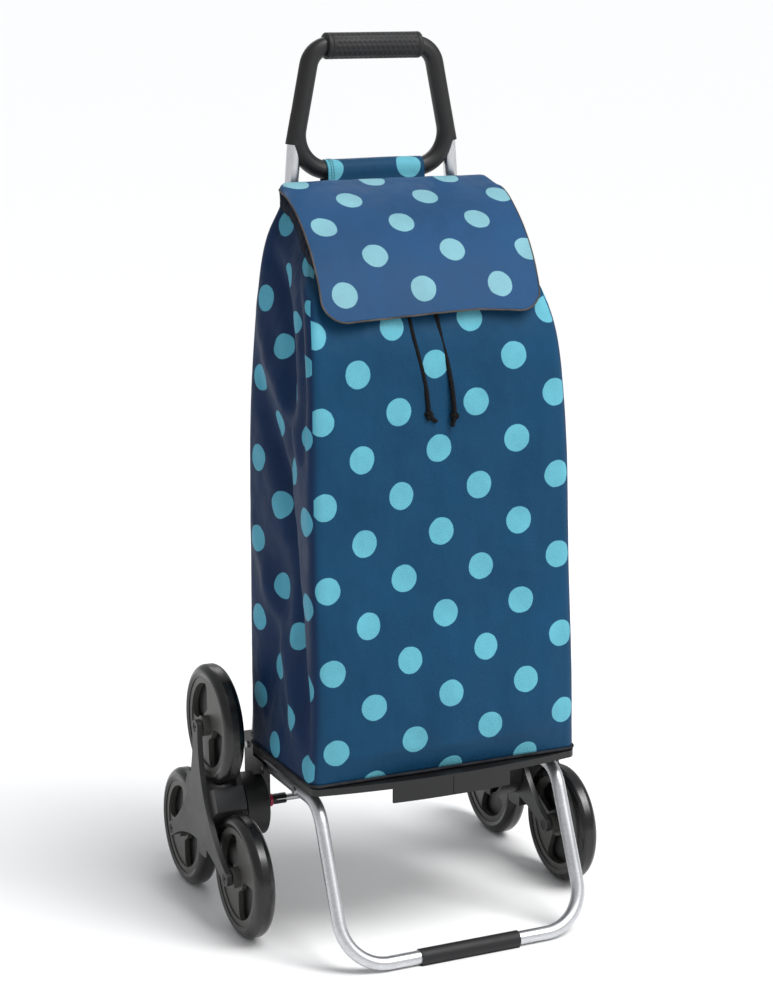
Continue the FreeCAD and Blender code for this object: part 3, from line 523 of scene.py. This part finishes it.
def smooth_noise(x, y, seed, scale):
    """A smooth, repeatable bumpiness between about -1 and 1."""
    total = np.zeros_like(x, dtype=float)
    rng = np.random.default_rng(seed)
    for octave in range(4):
        size = scale / (1.7 ** octave)
        for _ in range(5):
            angle = rng.uniform(0, 2 * math.pi)
            phase = rng.uniform(0, 2 * math.pi)
            along = x * math.cos(angle) + y * math.sin(angle)
            total += np.sin(along / size * 2 * math.pi + phase) / (1.6 ** octave)
    return total / 6.0


def distance_to_line(points, a, b):
    """Distance of every (a, b) to a polyline, and how far along it lies, 0 to 1."""
    best = np.full(np.shape(a), 1e9)
    share = np.zeros(np.shape(a))
    count = len(points) - 1
    for i in range(count):
        p = np.array(points[i], float)
        q = np.array(points[i + 1], float)
        d = q - p
        t = np.clip(((a - p[0]) * d[0] + (b - p[1]) * d[1]) / (d @ d), 0, 1)
        dist = np.hypot(a - p[0] - t * d[0], b - p[1] - t * d[1])
        closer = dist < best
        best = np.where(closer, dist, best)
        share = np.where(closer, (i + t) / count, share)
    return best, share


def ease(points, marks, t):
    """Smooth values through points at marks, for every t."""
    points = np.array(points, float)
    marks = np.array(marks, float)
    t = np.asarray(t, float)
    slopes = np.gradient(points, marks, axis=0)
    index = np.clip(np.searchsorted(marks, t, side="right") - 1, 0, len(marks) - 2)
    width = (marks[index + 1] - marks[index])[..., None]
    u = (t - marks[index])[..., None] / width
    rise = -2 * u ** 3 + 3 * u ** 2
    leave = u ** 3 - 2 * u ** 2 + u
    arrive = u ** 3 - u ** 2
    return ((1 - rise) * points[index] + rise * points[index + 1]
            + width * (leave * slopes[index] + arrive * slopes[index + 1]))


def path_marks(points):
    """Cumulative length along a list of points, from 0 to 1, and the whole length."""
    runs = np.linalg.norm(np.diff(np.array(points, float), axis=0), axis=1)
    travelled = np.concatenate([[0], np.cumsum(runs)])
    return travelled / travelled[-1], travelled[-1]


def fabric_fold(side, s, z, across):
    """How far a point of a panel moves inwards: folds, belly and small puckers."""
    move = np.zeros_like(s)
    edge = np.clip(np.minimum(s, across - s) / 22.0, 0, 1)
    ends = np.clip((z - 208) / 30.0, 0, 1)
    if side in ("left", "right"):
        seed = 3 if side == "left" else 8
        back_distance = across - s if side == "left" else s
        for line, depth, width in SIDE_FOLDS:
            if side == "right":
                line = [(p[0] * 0.92 + 6, p[1] + 14) for p in line]
            dist, share = distance_to_line(line, back_distance, z)
            taper = np.sin(np.clip(share, 0.02, 0.98) * math.pi) ** 0.5
            move += depth * taper * np.exp(-(dist / width) ** 2)
        move += 9.0 * np.exp(-((back_distance - 96) / 52) ** 2) * np.clip((z - 230) / 160, 0, 1)
        move += 1.6 * smooth_noise(s, z * 0.6, seed, 90.0)
    elif side == "front":
        move -= (4.0 + 9.0 * np.clip((420 - z) / 200, 0, 1)) * np.sin(np.clip(s / across, 0, 1) * math.pi)
        move += 2.6 * smooth_noise(s * 0.9, z * 0.42, 5, 110.0)
        fan = np.clip((z - 640) / 90, 0, 1)
        move += 2.6 * fan * np.sin(s / 17.0 + 1.3 * np.sin(z / 45.0))
    else:
        move += 3.0 * np.sin(np.clip(s / across, 0, 1) * math.pi) * np.clip((z - 230) / 120, 0, 1)
        move += 1.5 * smooth_noise(s, z * 0.6, 11, 100.0)
        fan = np.clip((z - 700) / 90, 0, 1)
        move += 2.0 * fan * np.sin(s / 14.0)
    return move * edge * ends + 0.35 * smooth_noise(s * 1.5, z, 21, 24.0) * edge


def bag_rows():
    """Corner places for every row of the bag body."""
    t = np.linspace(0, 1, ROWS)
    return {name: ease(path, BAG_MARKS, t) for name, path in BAG_PATHS.items()}


def panel_grid(name, start, end, columns, corners):
    """Places and cloth coordinates of one panel, between two upright seams."""
    a = corners[start]
    b = corners[end]
    along = b - a
    across = np.linalg.norm(along[:, :2], axis=1)[:, None]
    unit = along / np.linalg.norm(along, axis=1)[:, None]
    flat = along.copy()
    flat[:, 2] = 0
    flat /= np.linalg.norm(flat, axis=1)[:, None]
    outward = np.stack([flat[:, 1], -flat[:, 0], np.zeros(len(flat))], axis=1)
    share = np.linspace(0, 1, columns + 1)[None, :]
    s = share * across
    arc = CORNER_R * math.pi / 4
    near = np.minimum(s, across - s)
    angle = np.clip(near / arc, 0, 1) * math.pi / 4
    in_arc = near < arc
    straight = CORNER_R + (near - arc) * (across / 2 - CORNER_R) / (across / 2 - arc)
    run = np.where(in_arc, CORNER_R * (1 - np.sin(math.pi / 4 - angle)), straight)
    proud = np.where(in_arc, -CORNER_R * (1 - np.cos(math.pi / 4 - angle)), 0.0)
    run = np.where(s <= across / 2, run, across - run)
    z = a[:, 2:3] + (b[:, 2:3] - a[:, 2:3]) * share
    inward = fabric_fold(name, s, z, across)
    places = (a[:, None, :] + unit[:, None, :] * run[:, :, None]
              + outward[:, None, :] * (proud - inward)[:, :, None])
    return places, s


def bag_body():
    """The bag's four panels as one welded shell, cut in two, and its lowest and highest rings."""
    corners = bag_rows()
    vertices = []
    faces = []
    uv = []
    shift_u = {"right": 31.0, "back": 12.0, "left": 20.0}
    grids = [panel_grid(name, start, end, columns, corners) for name, start, end, columns in PANELS]
    for k in range(4):
        seam = (grids[k][0][:, -1] + grids[(k + 1) % 4][0][:, 0]) / 2
        grids[k][0][:, -1] = seam
        grids[(k + 1) % 4][0][:, 0] = seam
    for (name, start, end, columns), (places, s) in zip(PANELS, grids):
        slant = np.linalg.norm(np.diff(corners[start], axis=0), axis=1)
        height = 206 + np.concatenate([[0], np.cumsum(slant)])[:, None] * np.ones_like(s)
        if name == "front":
            off_middle = s - s[:, -1:] / 2
            lean = 6.0 + 11.5 * np.sin(math.pi / 2 * np.clip((height - 210) / 350, 0, 1))
            u = off_middle - 9.2 + lean * (0.62 + 0.38 * np.sin(math.pi * s / s[:, -1:]))
            v = height - 393.0 - 0.025 * off_middle + 5.0 * np.clip(-off_middle / 140, 0, 1)
        else:
            u = s + shift_u[name]
            v = height - 410.0
        base = len(vertices)
        for row in range(ROWS):
            for column in range(columns + 1):
                vertices.append(place(*places[row, column]))
        wide = columns + 1
        for row in range(ROWS - 1):
            for column in range(columns):
                ring = [(row, column), (row, column + 1), (row + 1, column + 1), (row + 1, column)]
                faces.append([base + r * wide + c for r, c in ring])
                uv.append([(u[r, c] / 100, v[r, c] / 100) for r, c in ring])
    holder = mesh_object("bag_body", vertices, faces, "fabric", uv)
    work = bmesh.new()
    work.from_mesh(holder.data)
    bmesh.ops.remove_doubles(work, verts=work.verts, dist=0.00005)
    work.to_mesh(holder.data)
    work.free()
    rings = [np.concatenate([places[row, :-1] for places, s in grids]) for row in (0, -1)]
    thicken(holder, BAG_CLOTH_T * MM)
    return split_level(holder, "bag_upper", "bag_lower", SPLIT_Z * MM), rings[0], rings[1]


def split_level(holder, upper_name, lower_name, level):
    """Two pieces of one smooth mesh, above and below a level, keeping its shading across the cut."""
    mesh = holder.data
    normals = np.empty(len(mesh.vertices) * 3, np.float32)
    mesh.vertex_normals.foreach_get("vector", normals)
    normals = normals.reshape(-1, 3)
    layer = mesh.uv_layers["cloth"]
    parts = []
    for name, wants_upper in ((upper_name, True), (lower_name, False)):
        chosen = [p for p in mesh.polygons if (p.center.z > level) == wants_upper]
        used = sorted({v for p in chosen for v in p.vertices})
        index = {v: i for i, v in enumerate(used)}
        uv = [[tuple(layer.data[loop].uv) for loop in p.loop_indices] for p in chosen]
        faces = [[index[v] for v in p.vertices] for p in chosen]
        part = mesh_object(name, [mesh.vertices[v].co for v in used], faces, "fabric", uv)
        part.data.normals_split_custom_set_from_vertices([tuple(normals[v]) for v in used])
        parts.append(part)
    bpy.data.objects.remove(holder)
    return parts


def soft_piece(holder, slot, *nodes):
    """A soft piece that stays with the frame."""
    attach(holder, "root")
    if nodes:
        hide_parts(*nodes)
    return holder


def lifts_with_base(holder):
    """Gives a piece its own copy of its mesh."""
    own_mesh(holder)


def bag_underside(ring):
    """The bag's underside, and the black binding sewn round its lower edge."""
    centre = ring.mean(axis=0)
    inner = centre + (ring - centre) * 0.985
    vertices = [place(*p) for p in ring] + [place(*p) for p in inner] + [place(centre[0], centre[1], 205.2)]
    count = len(ring)
    faces = []
    for i in range(count):
        j = (i + 1) % count
        faces.append([i, j, count + j, count + i])
        faces.append([count + i, count + j, 2 * count])
    floor = mesh_object("bag_underside", vertices, faces, "tape")
    floor = thicken(floor, 1.0 * MM, 1.0)
    low = np.array(ring)
    low[:, 2] = 205.7
    outward = low - centre
    outward[:, 2] = 0
    outward /= np.linalg.norm(outward, axis=1)[:, None]
    bead = tube_along("bag_binding", [place(*p) for p in low + outward * 0.6], 1.9 * MM, "tape", closed=True)
    return floor, bead


def gathered_hem(ring):
    """The drawcord tunnel: a ruffled band that stands up from the mouth and folds back inside."""
    closed = np.vstack([ring, ring[:1]])
    travelled = np.concatenate([[0], np.cumsum(np.linalg.norm(np.diff(closed, axis=0), axis=1))])[:-1]
    fine = np.linspace(0, travelled[-1], 640)
    base = np.stack([np.interp(fine, travelled, ring[:, k]) for k in range(3)], axis=1)
    centre = base.mean(axis=0)
    inward = centre - base
    inward[:, 2] = 0
    inward /= np.linalg.norm(inward, axis=1)[:, None]
    ruffle = np.sin(fine / 2.1 + 1.4 * np.sin(fine / 31.0)) * (1.5 + 0.6 * np.sin(fine / 23.0))
    rows = [(-4, 0.2, 0.0), (0, 0.4, 0.2), (3, 0.9, 0.6), (6.5, 1.6, 1.0), (9.5, 3.0, 1.1), (11.5, 5.0, 1.0),
            (12.0, 7.0, 0.8), (10.5, 8.6, 0.6), (6.0, 9.4, 0.4), (0, 9.8, 0.2)]
    vertices = []
    for rise, tuck, amount in rows:
        for i in range(len(base)):
            point = base[i] + inward[i] * (tuck + ruffle[i] * amount)
            vertices.append(place(point[0], point[1], point[2] + rise + 0.5 * ruffle[i] * amount))
    faces = []
    uv = []
    wide = len(base)
    for row in range(len(rows) - 1):
        for i in range(wide):
            j = (i + 1) % wide
            faces.append([row * wide + i, row * wide + j, (row + 1) * wide + j, (row + 1) * wide + i])
            corners = ((fine[i], row), (fine[i] + 1.7, row), (fine[i] + 1.7, row + 1), (fine[i], row + 1))
            uv.append([(u / 100, v * 0.03 + 2.9) for u, v in corners])
    return thicken(mesh_object("mouth_hem", vertices, faces, "hem", uv), 0.9 * MM)


# ---------------------------------------------------------------- flap
# The flap's outline seen from the side: its seam behind the mouth, its ridge, then its fall.
FLAP_LINE = [(-14, 830), (-14.5, 848), (-17.5, 855.5), (-24, 857.4), (-48, 852), (-80, 839.5),
             (-130, 809.5), (-172, 770.5), (-192, 742), (-201, 727.5)]
SEAM_RUN = 29.0
FLAP_HALF = (135.0, 131.0)
SEAM_HALF = 124.0
CURL_SHARE = 0.1
CURL_TURN = 1.35
FLAP_LEAN = -21.0
FLAP_U = -16.0
FLAP_V = 107.0
FLAP_CORNER = 27.0


def flap_place(length, x_share):
    """A point on the flap's outer face; x_share runs from -1 to 1."""
    marks, whole = path_marks(FLAP_LINE)
    line = ease(FLAP_LINE, marks, length / whole)
    share = np.clip((length - SEAM_RUN) / (whole - SEAM_RUN), 0, 1)
    half = FLAP_HALF[0] + (FLAP_HALF[1] - FLAP_HALF[0]) * share
    left = np.clip(FLAP_CORNER - (whole - length), 0, FLAP_CORNER)
    half = half - (FLAP_CORNER - np.sqrt(FLAP_CORNER ** 2 - left ** 2))
    behind = np.clip(1 - length / (SEAM_RUN + 8.0), 0, 1)
    half = half + (SEAM_HALF - half) * (1 - (1 - behind) ** 2)
    x = x_share * half + FLAP_LEAN * share ** 1.3
    ripple = 1.6 * share * np.sin(x / 38.0 + 0.8) + 0.7 * smooth_noise(x, length, 31, 70.0)
    droop = -5.0 * share * (np.abs(x_share) ** 3) * (1 - 0.4 * share)
    turn = CURL_TURN * np.exp(-((length - 32.0) / 30.0) ** 2) + 0.001
    run = CURL_SHARE * half
    rolled = np.clip((np.abs(x_share) - 1 + CURL_SHARE) / CURL_SHARE, 0, 1) * turn
    x = x - np.sign(x_share) * run * (rolled - np.sin(rolled)) / turn
    droop -= run * (1 - np.cos(rolled)) / turn
    return x, line[..., 0] - 0.25 * ripple, line[..., 1] + ripple + droop


def make_flap():
    whole = path_marks(FLAP_LINE)[1]
    columns, rows = 80, 76
    end = np.linspace(0, 1, rows + 1)
    length = (whole * (1 - (1 - end) ** 1.25))[:, None] * np.ones((1, columns + 1))
    share = np.linspace(-1, 1, columns + 1)[None, :] * np.ones_like(length)
    share = np.sign(share) * (1 - (1 - np.abs(share)) ** 1.2)
    x, y, z = flap_place(length, share)
    vertices = [place(*p) for p in np.stack([x, y, z], axis=-1).reshape(-1, 3)]
    wide = columns + 1
    faces = []
    uv = []
    for r in range(rows):
        for c in range(columns):
            ring = [(r, c), (r + 1, c), (r + 1, c + 1), (r, c + 1)]
            faces.append([i * wide + j for i, j in ring])
            corners = []
            for i, j in ring:
                fallen = length[i, j] - SEAM_RUN
                across = x[i, j] - FLAP_LEAN * max(0.0, fallen / (whole - SEAM_RUN)) ** 1.3
                along = 1.04 * (across - FLAP_U) + 5.0 - 0.055 * fallen
                corners.append((along / 100, (FLAP_V - fallen) / 100))
            uv.append(corners)
    flap = mesh_object("flap_cloth", vertices, faces, "flap", uv)
    flap = thicken(flap, FLAP_CLOTH_T * MM)
    border = [(i, 0) for i in range(rows + 1)]
    border += [(rows, j) for j in range(1, columns + 1)]
    border += [(i, columns) for i in range(rows - 1, -1, -1)]
    line = [place(x[i, j], y[i, j], z[i, j] - 0.6) for i, j in border]
    line = resample(line, 2.5 * MM)
    edge = tube_along("flap_overlock", line, 1.0 * MM, "edge", sides=8)
    return flap, edge


def stitch_row(name, points, pitch, radius=0.32, share=0.62, lift=0.35):
    """A row of short sewn stitches lying on a line of metres."""
    line = resample(points, pitch * MM)
    vertices = []
    faces = []
    sides = 6
    for i in range(len(line) - 1):
        a = Vector(line[i]) + Vector((0, -lift * MM * 0.6, lift * MM * 0.7))
        b = Vector(line[i + 1]) + Vector((0, -lift * MM * 0.6, lift * MM * 0.7))
        heading = (b - a).normalized()
        side = heading.cross(Vector((0.3, 0.2, 1))).normalized()
        up = side.cross(heading)
        base = len(vertices)
        for t, scale in ((0.0, 0.35), (0.15, 1.0), (0.5, 1.15), (0.85, 1.0), (1.0, 0.35)):
            centre = a + (b - a) * (t * share)
            for k in range(sides):
                angle = 2 * math.pi * k / sides
                around = side * math.cos(angle) + up * math.sin(angle)
                vertices.append(centre + around * radius * scale * MM)
        for ring in range(4):
            for k in range(sides):
                j = (k + 1) % sides
                faces.append([base + ring * sides + k, base + ring * sides + j,
                              base + (ring + 1) * sides + j, base + (ring + 1) * sides + k])
        faces.append([base + k for k in range(sides)][::-1])
        faces.append([base + 4 * sides + k for k in range(sides)])
    return mesh_object(name, vertices, faces, "tape")


def joined(name, holders):
    """One mesh object out of several."""
    work = bmesh.new()
    for holder in holders:
        work.from_mesh(holder.data)
    mesh = bpy.data.meshes.new(name)
    work.to_mesh(mesh)
    work.free()
    mesh.materials.append(holders[0].data.materials[0])
    for holder in holders:
        bpy.data.objects.remove(holder)
    made = bpy.data.objects.new(name, mesh)
    bpy.context.scene.collection.objects.link(made)
    return made


# ---------------------------------------------------------------- strap, loops, cords, grip
STRAP_LINE = [(-13, 836), (-6.5, 849), (-3.8, 858), (-3.3, 865.5), (-1.55, 872), (3.2, 876.8), (9.7, 878.5),
              (16.2, 876.8), (21, 872), (22.7, 865.5), (22.4, 858), (18, 846), (7, 837), (-8, 833)]
STRAP_HALF = 60.5


def make_strap():
    """The fabric band round the handle's lower bar, double-stitched at one end."""
    marks, whole = path_marks(STRAP_LINE)
    columns, rows = 50, 60
    vertices = []
    faces = []
    uv = []
    for r in range(rows + 1):
        share = r / rows
        y, z = ease(STRAP_LINE, marks, np.array(share))
        for c in range(columns + 1):
            x = -STRAP_HALF + 2 * STRAP_HALF * c / columns
            sag = 0.7 * math.sin(x / 21.0 + 0.6) * math.sin(share * math.pi * 2.0)
            vertices.append(place(x, y - 0.5 * sag, z + sag))
    wide = columns + 1
    for r in range(rows):
        for c in range(columns):
            ring = [(r, c), (r, c + 1), (r + 1, c + 1), (r + 1, c)]
            faces.append([i * wide + j for i, j in ring])
            corners = []
            for i, j in ring:
                x = -STRAP_HALF + 2 * STRAP_HALF * j / columns
                corners.append(((x + 56.5) / 100, (whole * i / rows - 36.0) / 100))
            uv.append(corners)
    band = thicken(mesh_object("handle_strap", vertices, faces, "fabric", uv), 1.3 * MM)
    rows_of_thread = []
    for x in (-STRAP_HALF + 4.0, -STRAP_HALF + 7.0):
        line = [place(x, y - 0.2, z) for y, z in ease(STRAP_LINE, marks, np.linspace(0.1, 0.6, 40))]
        rows_of_thread.append(stitch_row("strap_thread", line, 3.4, 0.35))
    return band, joined("strap_stitches", rows_of_thread)


def upright_x(z):
    """How far from the middle an upright tube stands at a height."""
    low, high = (168.0, 153.2), (908.0, 96.3)
    return low[1] + (high[1] - low[1]) * (z - low[0]) / (high[0] - low[0])


LOOP_Z = 520.0
LOOP_WIDTH = 28.0


def make_loops():
    """Two bands sewn to the bag's back that hold it to the uprights."""
    bands = []
    for side in (-1, 1):
        vertices = []
        rows, around = 8, 34
        for r in range(rows + 1):
            z = LOOP_Z + LOOP_WIDTH * r / rows
            x = side * upright_x(z)
            path = [(-22, -10.5), (-13, -9.5), (-10.6, 2), (-9.9, 9.7)]
            turns = np.linspace(0.2, math.pi - 0.2, 12)
            path += [(-9.9 * math.cos(a), 9.7 + 9.9 * math.sin(a)) for a in turns]
            path += [(9.9, 9.7), (10.6, 2), (13, -9.5), (22, -10.5)]
            marks, _ = path_marks(path)
            for dx, y in ease(path, marks, np.linspace(0, 1, around + 1)):
                vertices.append(place(x + dx, y, z + 0.4 * math.sin(dx / 3.0)))
        wide = around + 1
        faces = []
        for r in range(rows):
            for c in range(around):
                faces.append([r * wide + c, r * wide + c + 1, (r + 1) * wide + c + 1, (r + 1) * wide + c])
        bands.append(thicken(mesh_object("loop", vertices, faces, "tape"), 1.6 * MM, 0.0))
    return joined("tube_loops", bands)


# The drawcords' hanging ends, as routed in the design: x, y, z of each bend.
CORD_ROUTES = {
    "left": [(-50.0, -154.0, 770.5), (-50.0, -168.0, 757.5), (-49.5, -181.5, 743.0), (-48.0, -190.5, 720.0),
             (-44.5, -198.5, 694.5), (-38.0, -202.5, 668.0), (-32.5, -203.8, 641.5), (-30.5, -204.2, 620.5)],
    "right": [(-14.0, -154.0, 770.5), (-14.2, -168.0, 757.5), (-15.0, -181.8, 743.0), (-15.4, -191.0, 720.0),
              (-11.5, -199.5, 694.0), (-6.5, -203.5, 667.0), (-1.5, -205.2, 640.5), (0.0, -206.2, 617.0)],
}
CORD_D = 5.5
KNOT_TAILS = {"left": (0.75, -0.1, -0.62), "right": (-0.35, -0.05, -0.93)}


def make_cord(side):
    route = CORD_ROUTES[side]
    curve = bpy.data.curves.new(side + "_cord", "CURVE")
    curve.dimensions = "3D"
    curve.bevel_depth = CORD_D / 2 * MM
    curve.bevel_resolution = 5
    curve.use_fill_caps = True
    curve.resolution_u = 16
    spline = curve.splines.new("NURBS")
    spline.points.add(len(route) - 1)
    for target, point in zip(spline.points, route):
        at = place(*point)
        target.co = (at.x, at.y, at.z, 1)
    spline.order_u = 3
    spline.use_endpoint_u = True
    curve.materials.append(MATERIALS["cord"])
    cord = bpy.data.objects.new(side + "_cord", curve)
    bpy.context.scene.collection.objects.link(cord)
    knot = make_knot(side, route[-1])
    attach(cord, "root")
    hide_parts(side + "_drawcord")
    soft_piece(knot, "cord", side + "_cord_knot")
    return cord


def make_knot(side, end):
    """An overhand knot in the cord's end, with a short tail."""
    centre = Vector(place(*end)) + Vector((0, -0.4, -4.2)) * MM
    loops = []
    for i in range(72):
        t = 2 * math.pi * i / 72
        across = math.sin(t) + 1.7 * math.sin(2 * t)
        upward = math.cos(t) - 1.7 * math.cos(2 * t)
        depth = -1.1 * math.sin(3 * t)
        loops.append(centre + Vector((across * 1.25, depth * 1.5, upward * 1.45)) * MM)
    knot = tube_along("knot_loops", loops, 2.1 * MM, "cord", sides=16, closed=True)
    tail = Vector(KNOT_TAILS[side])
    run = [centre, centre + tail * 5 * MM, centre + (tail + Vector((0.1, 0, -0.1))) * 10.5 * MM]
    end_piece = tube_along("knot_tail", run, 2.3 * MM, "cord", sides=16)
    return joined(side + "_knot", [knot, end_piece])


DIMPLE_PITCH = 6.2
DIMPLE_ROWS = 15
DIMPLE_DEPTH = 0.9
DIMPLE_R = 1.7
GRIP_COLLAR = 5.0


def make_grip():
    """The moulded grip sleeve: rows of small dimples between two smooth collars."""
    low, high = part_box("handle_grip")
    centre = (low + high) / 2
    radius = (high.z - low.z) / 2
    half = (high.x - low.x) / 2
    around, along = 132, 200
    pitch = DIMPLE_PITCH * MM
    collar = GRIP_COLLAR * MM
    vertices = []
    for i in range(along + 1):
        x = -half + 2 * half * i / along
        end = half - abs(x)
        rim_r = min(1.0, (end / (1.5 * MM))) if end < 1.5 * MM else 1.0
        base_r = radius - 1.2 * MM * (1 - rim_r) ** 2
        if collar < end < collar + 1.2 * MM:
            base_r -= 0.7 * MM
        for k in range(around):
            angle = 2 * math.pi * k / around
            row = angle / (2 * math.pi) * DIMPLE_ROWS
            shift = 0.5 if int(round(row)) % 2 else 0.0
            column = x / pitch + shift
            dx = (column - round(column)) * pitch
            da = (row - round(row)) * 2 * math.pi * radius / DIMPLE_ROWS
            inside = 1.0 if end > collar + 3.0 * MM else 0.0
            dimple = DIMPLE_DEPTH * MM * math.exp(-(dx * dx + da * da) / (DIMPLE_R * MM) ** 2) * inside
            r = base_r - dimple
            vertices.append((centre.x + x, centre.y + r * math.cos(angle), centre.z + r * math.sin(angle)))
    faces = []
    for i in range(along):
        for k in range(around):
            j = (k + 1) % around
            faces.append([i * around + k, i * around + j, (i + 1) * around + j, (i + 1) * around + k])
    faces.append([k for k in range(around)][::-1])
    faces.append([along * around + k for k in range(around)])
    return mesh_object("grip_sleeve", vertices, faces, "rubber")


# ---------------------------------------------------------------- put it together
make_camera()
make_studio()
make_materials()
finish_nodes()
for side in CORD_ROUTES:
    make_cord(side)

(bag_upper, bag_lower), floor_ring, mouth_ring = bag_body()
soft_piece(bag_upper, "fabric", "bag_front", "bag_back", "bag_left_side", "bag_right_side")
soft_piece(bag_lower, "fabric")
lifts_with_base(bag_lower)
underside, binding = bag_underside(floor_ring)
soft_piece(underside, "board", "bag_floor", "bag_base_board")
lifts_with_base(underside)
soft_piece(binding, "trim")
lifts_with_base(binding)
hem = soft_piece(gathered_hem(mouth_ring), "trim", "bag_mouth_hem")

flap_cloth, flap_edge = make_flap()
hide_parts("bag_flap")
for soft in (flap_cloth, flap_edge):
    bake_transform(soft)

strap, strap_thread = make_strap()
soft_piece(strap, "fabric", "bag_handle_strap")
soft_piece(strap_thread, "fabric")
soft_piece(make_loops(), "trim", "bag_tube_loops")
soft_piece(make_grip(), "rubber", "handle_grip")
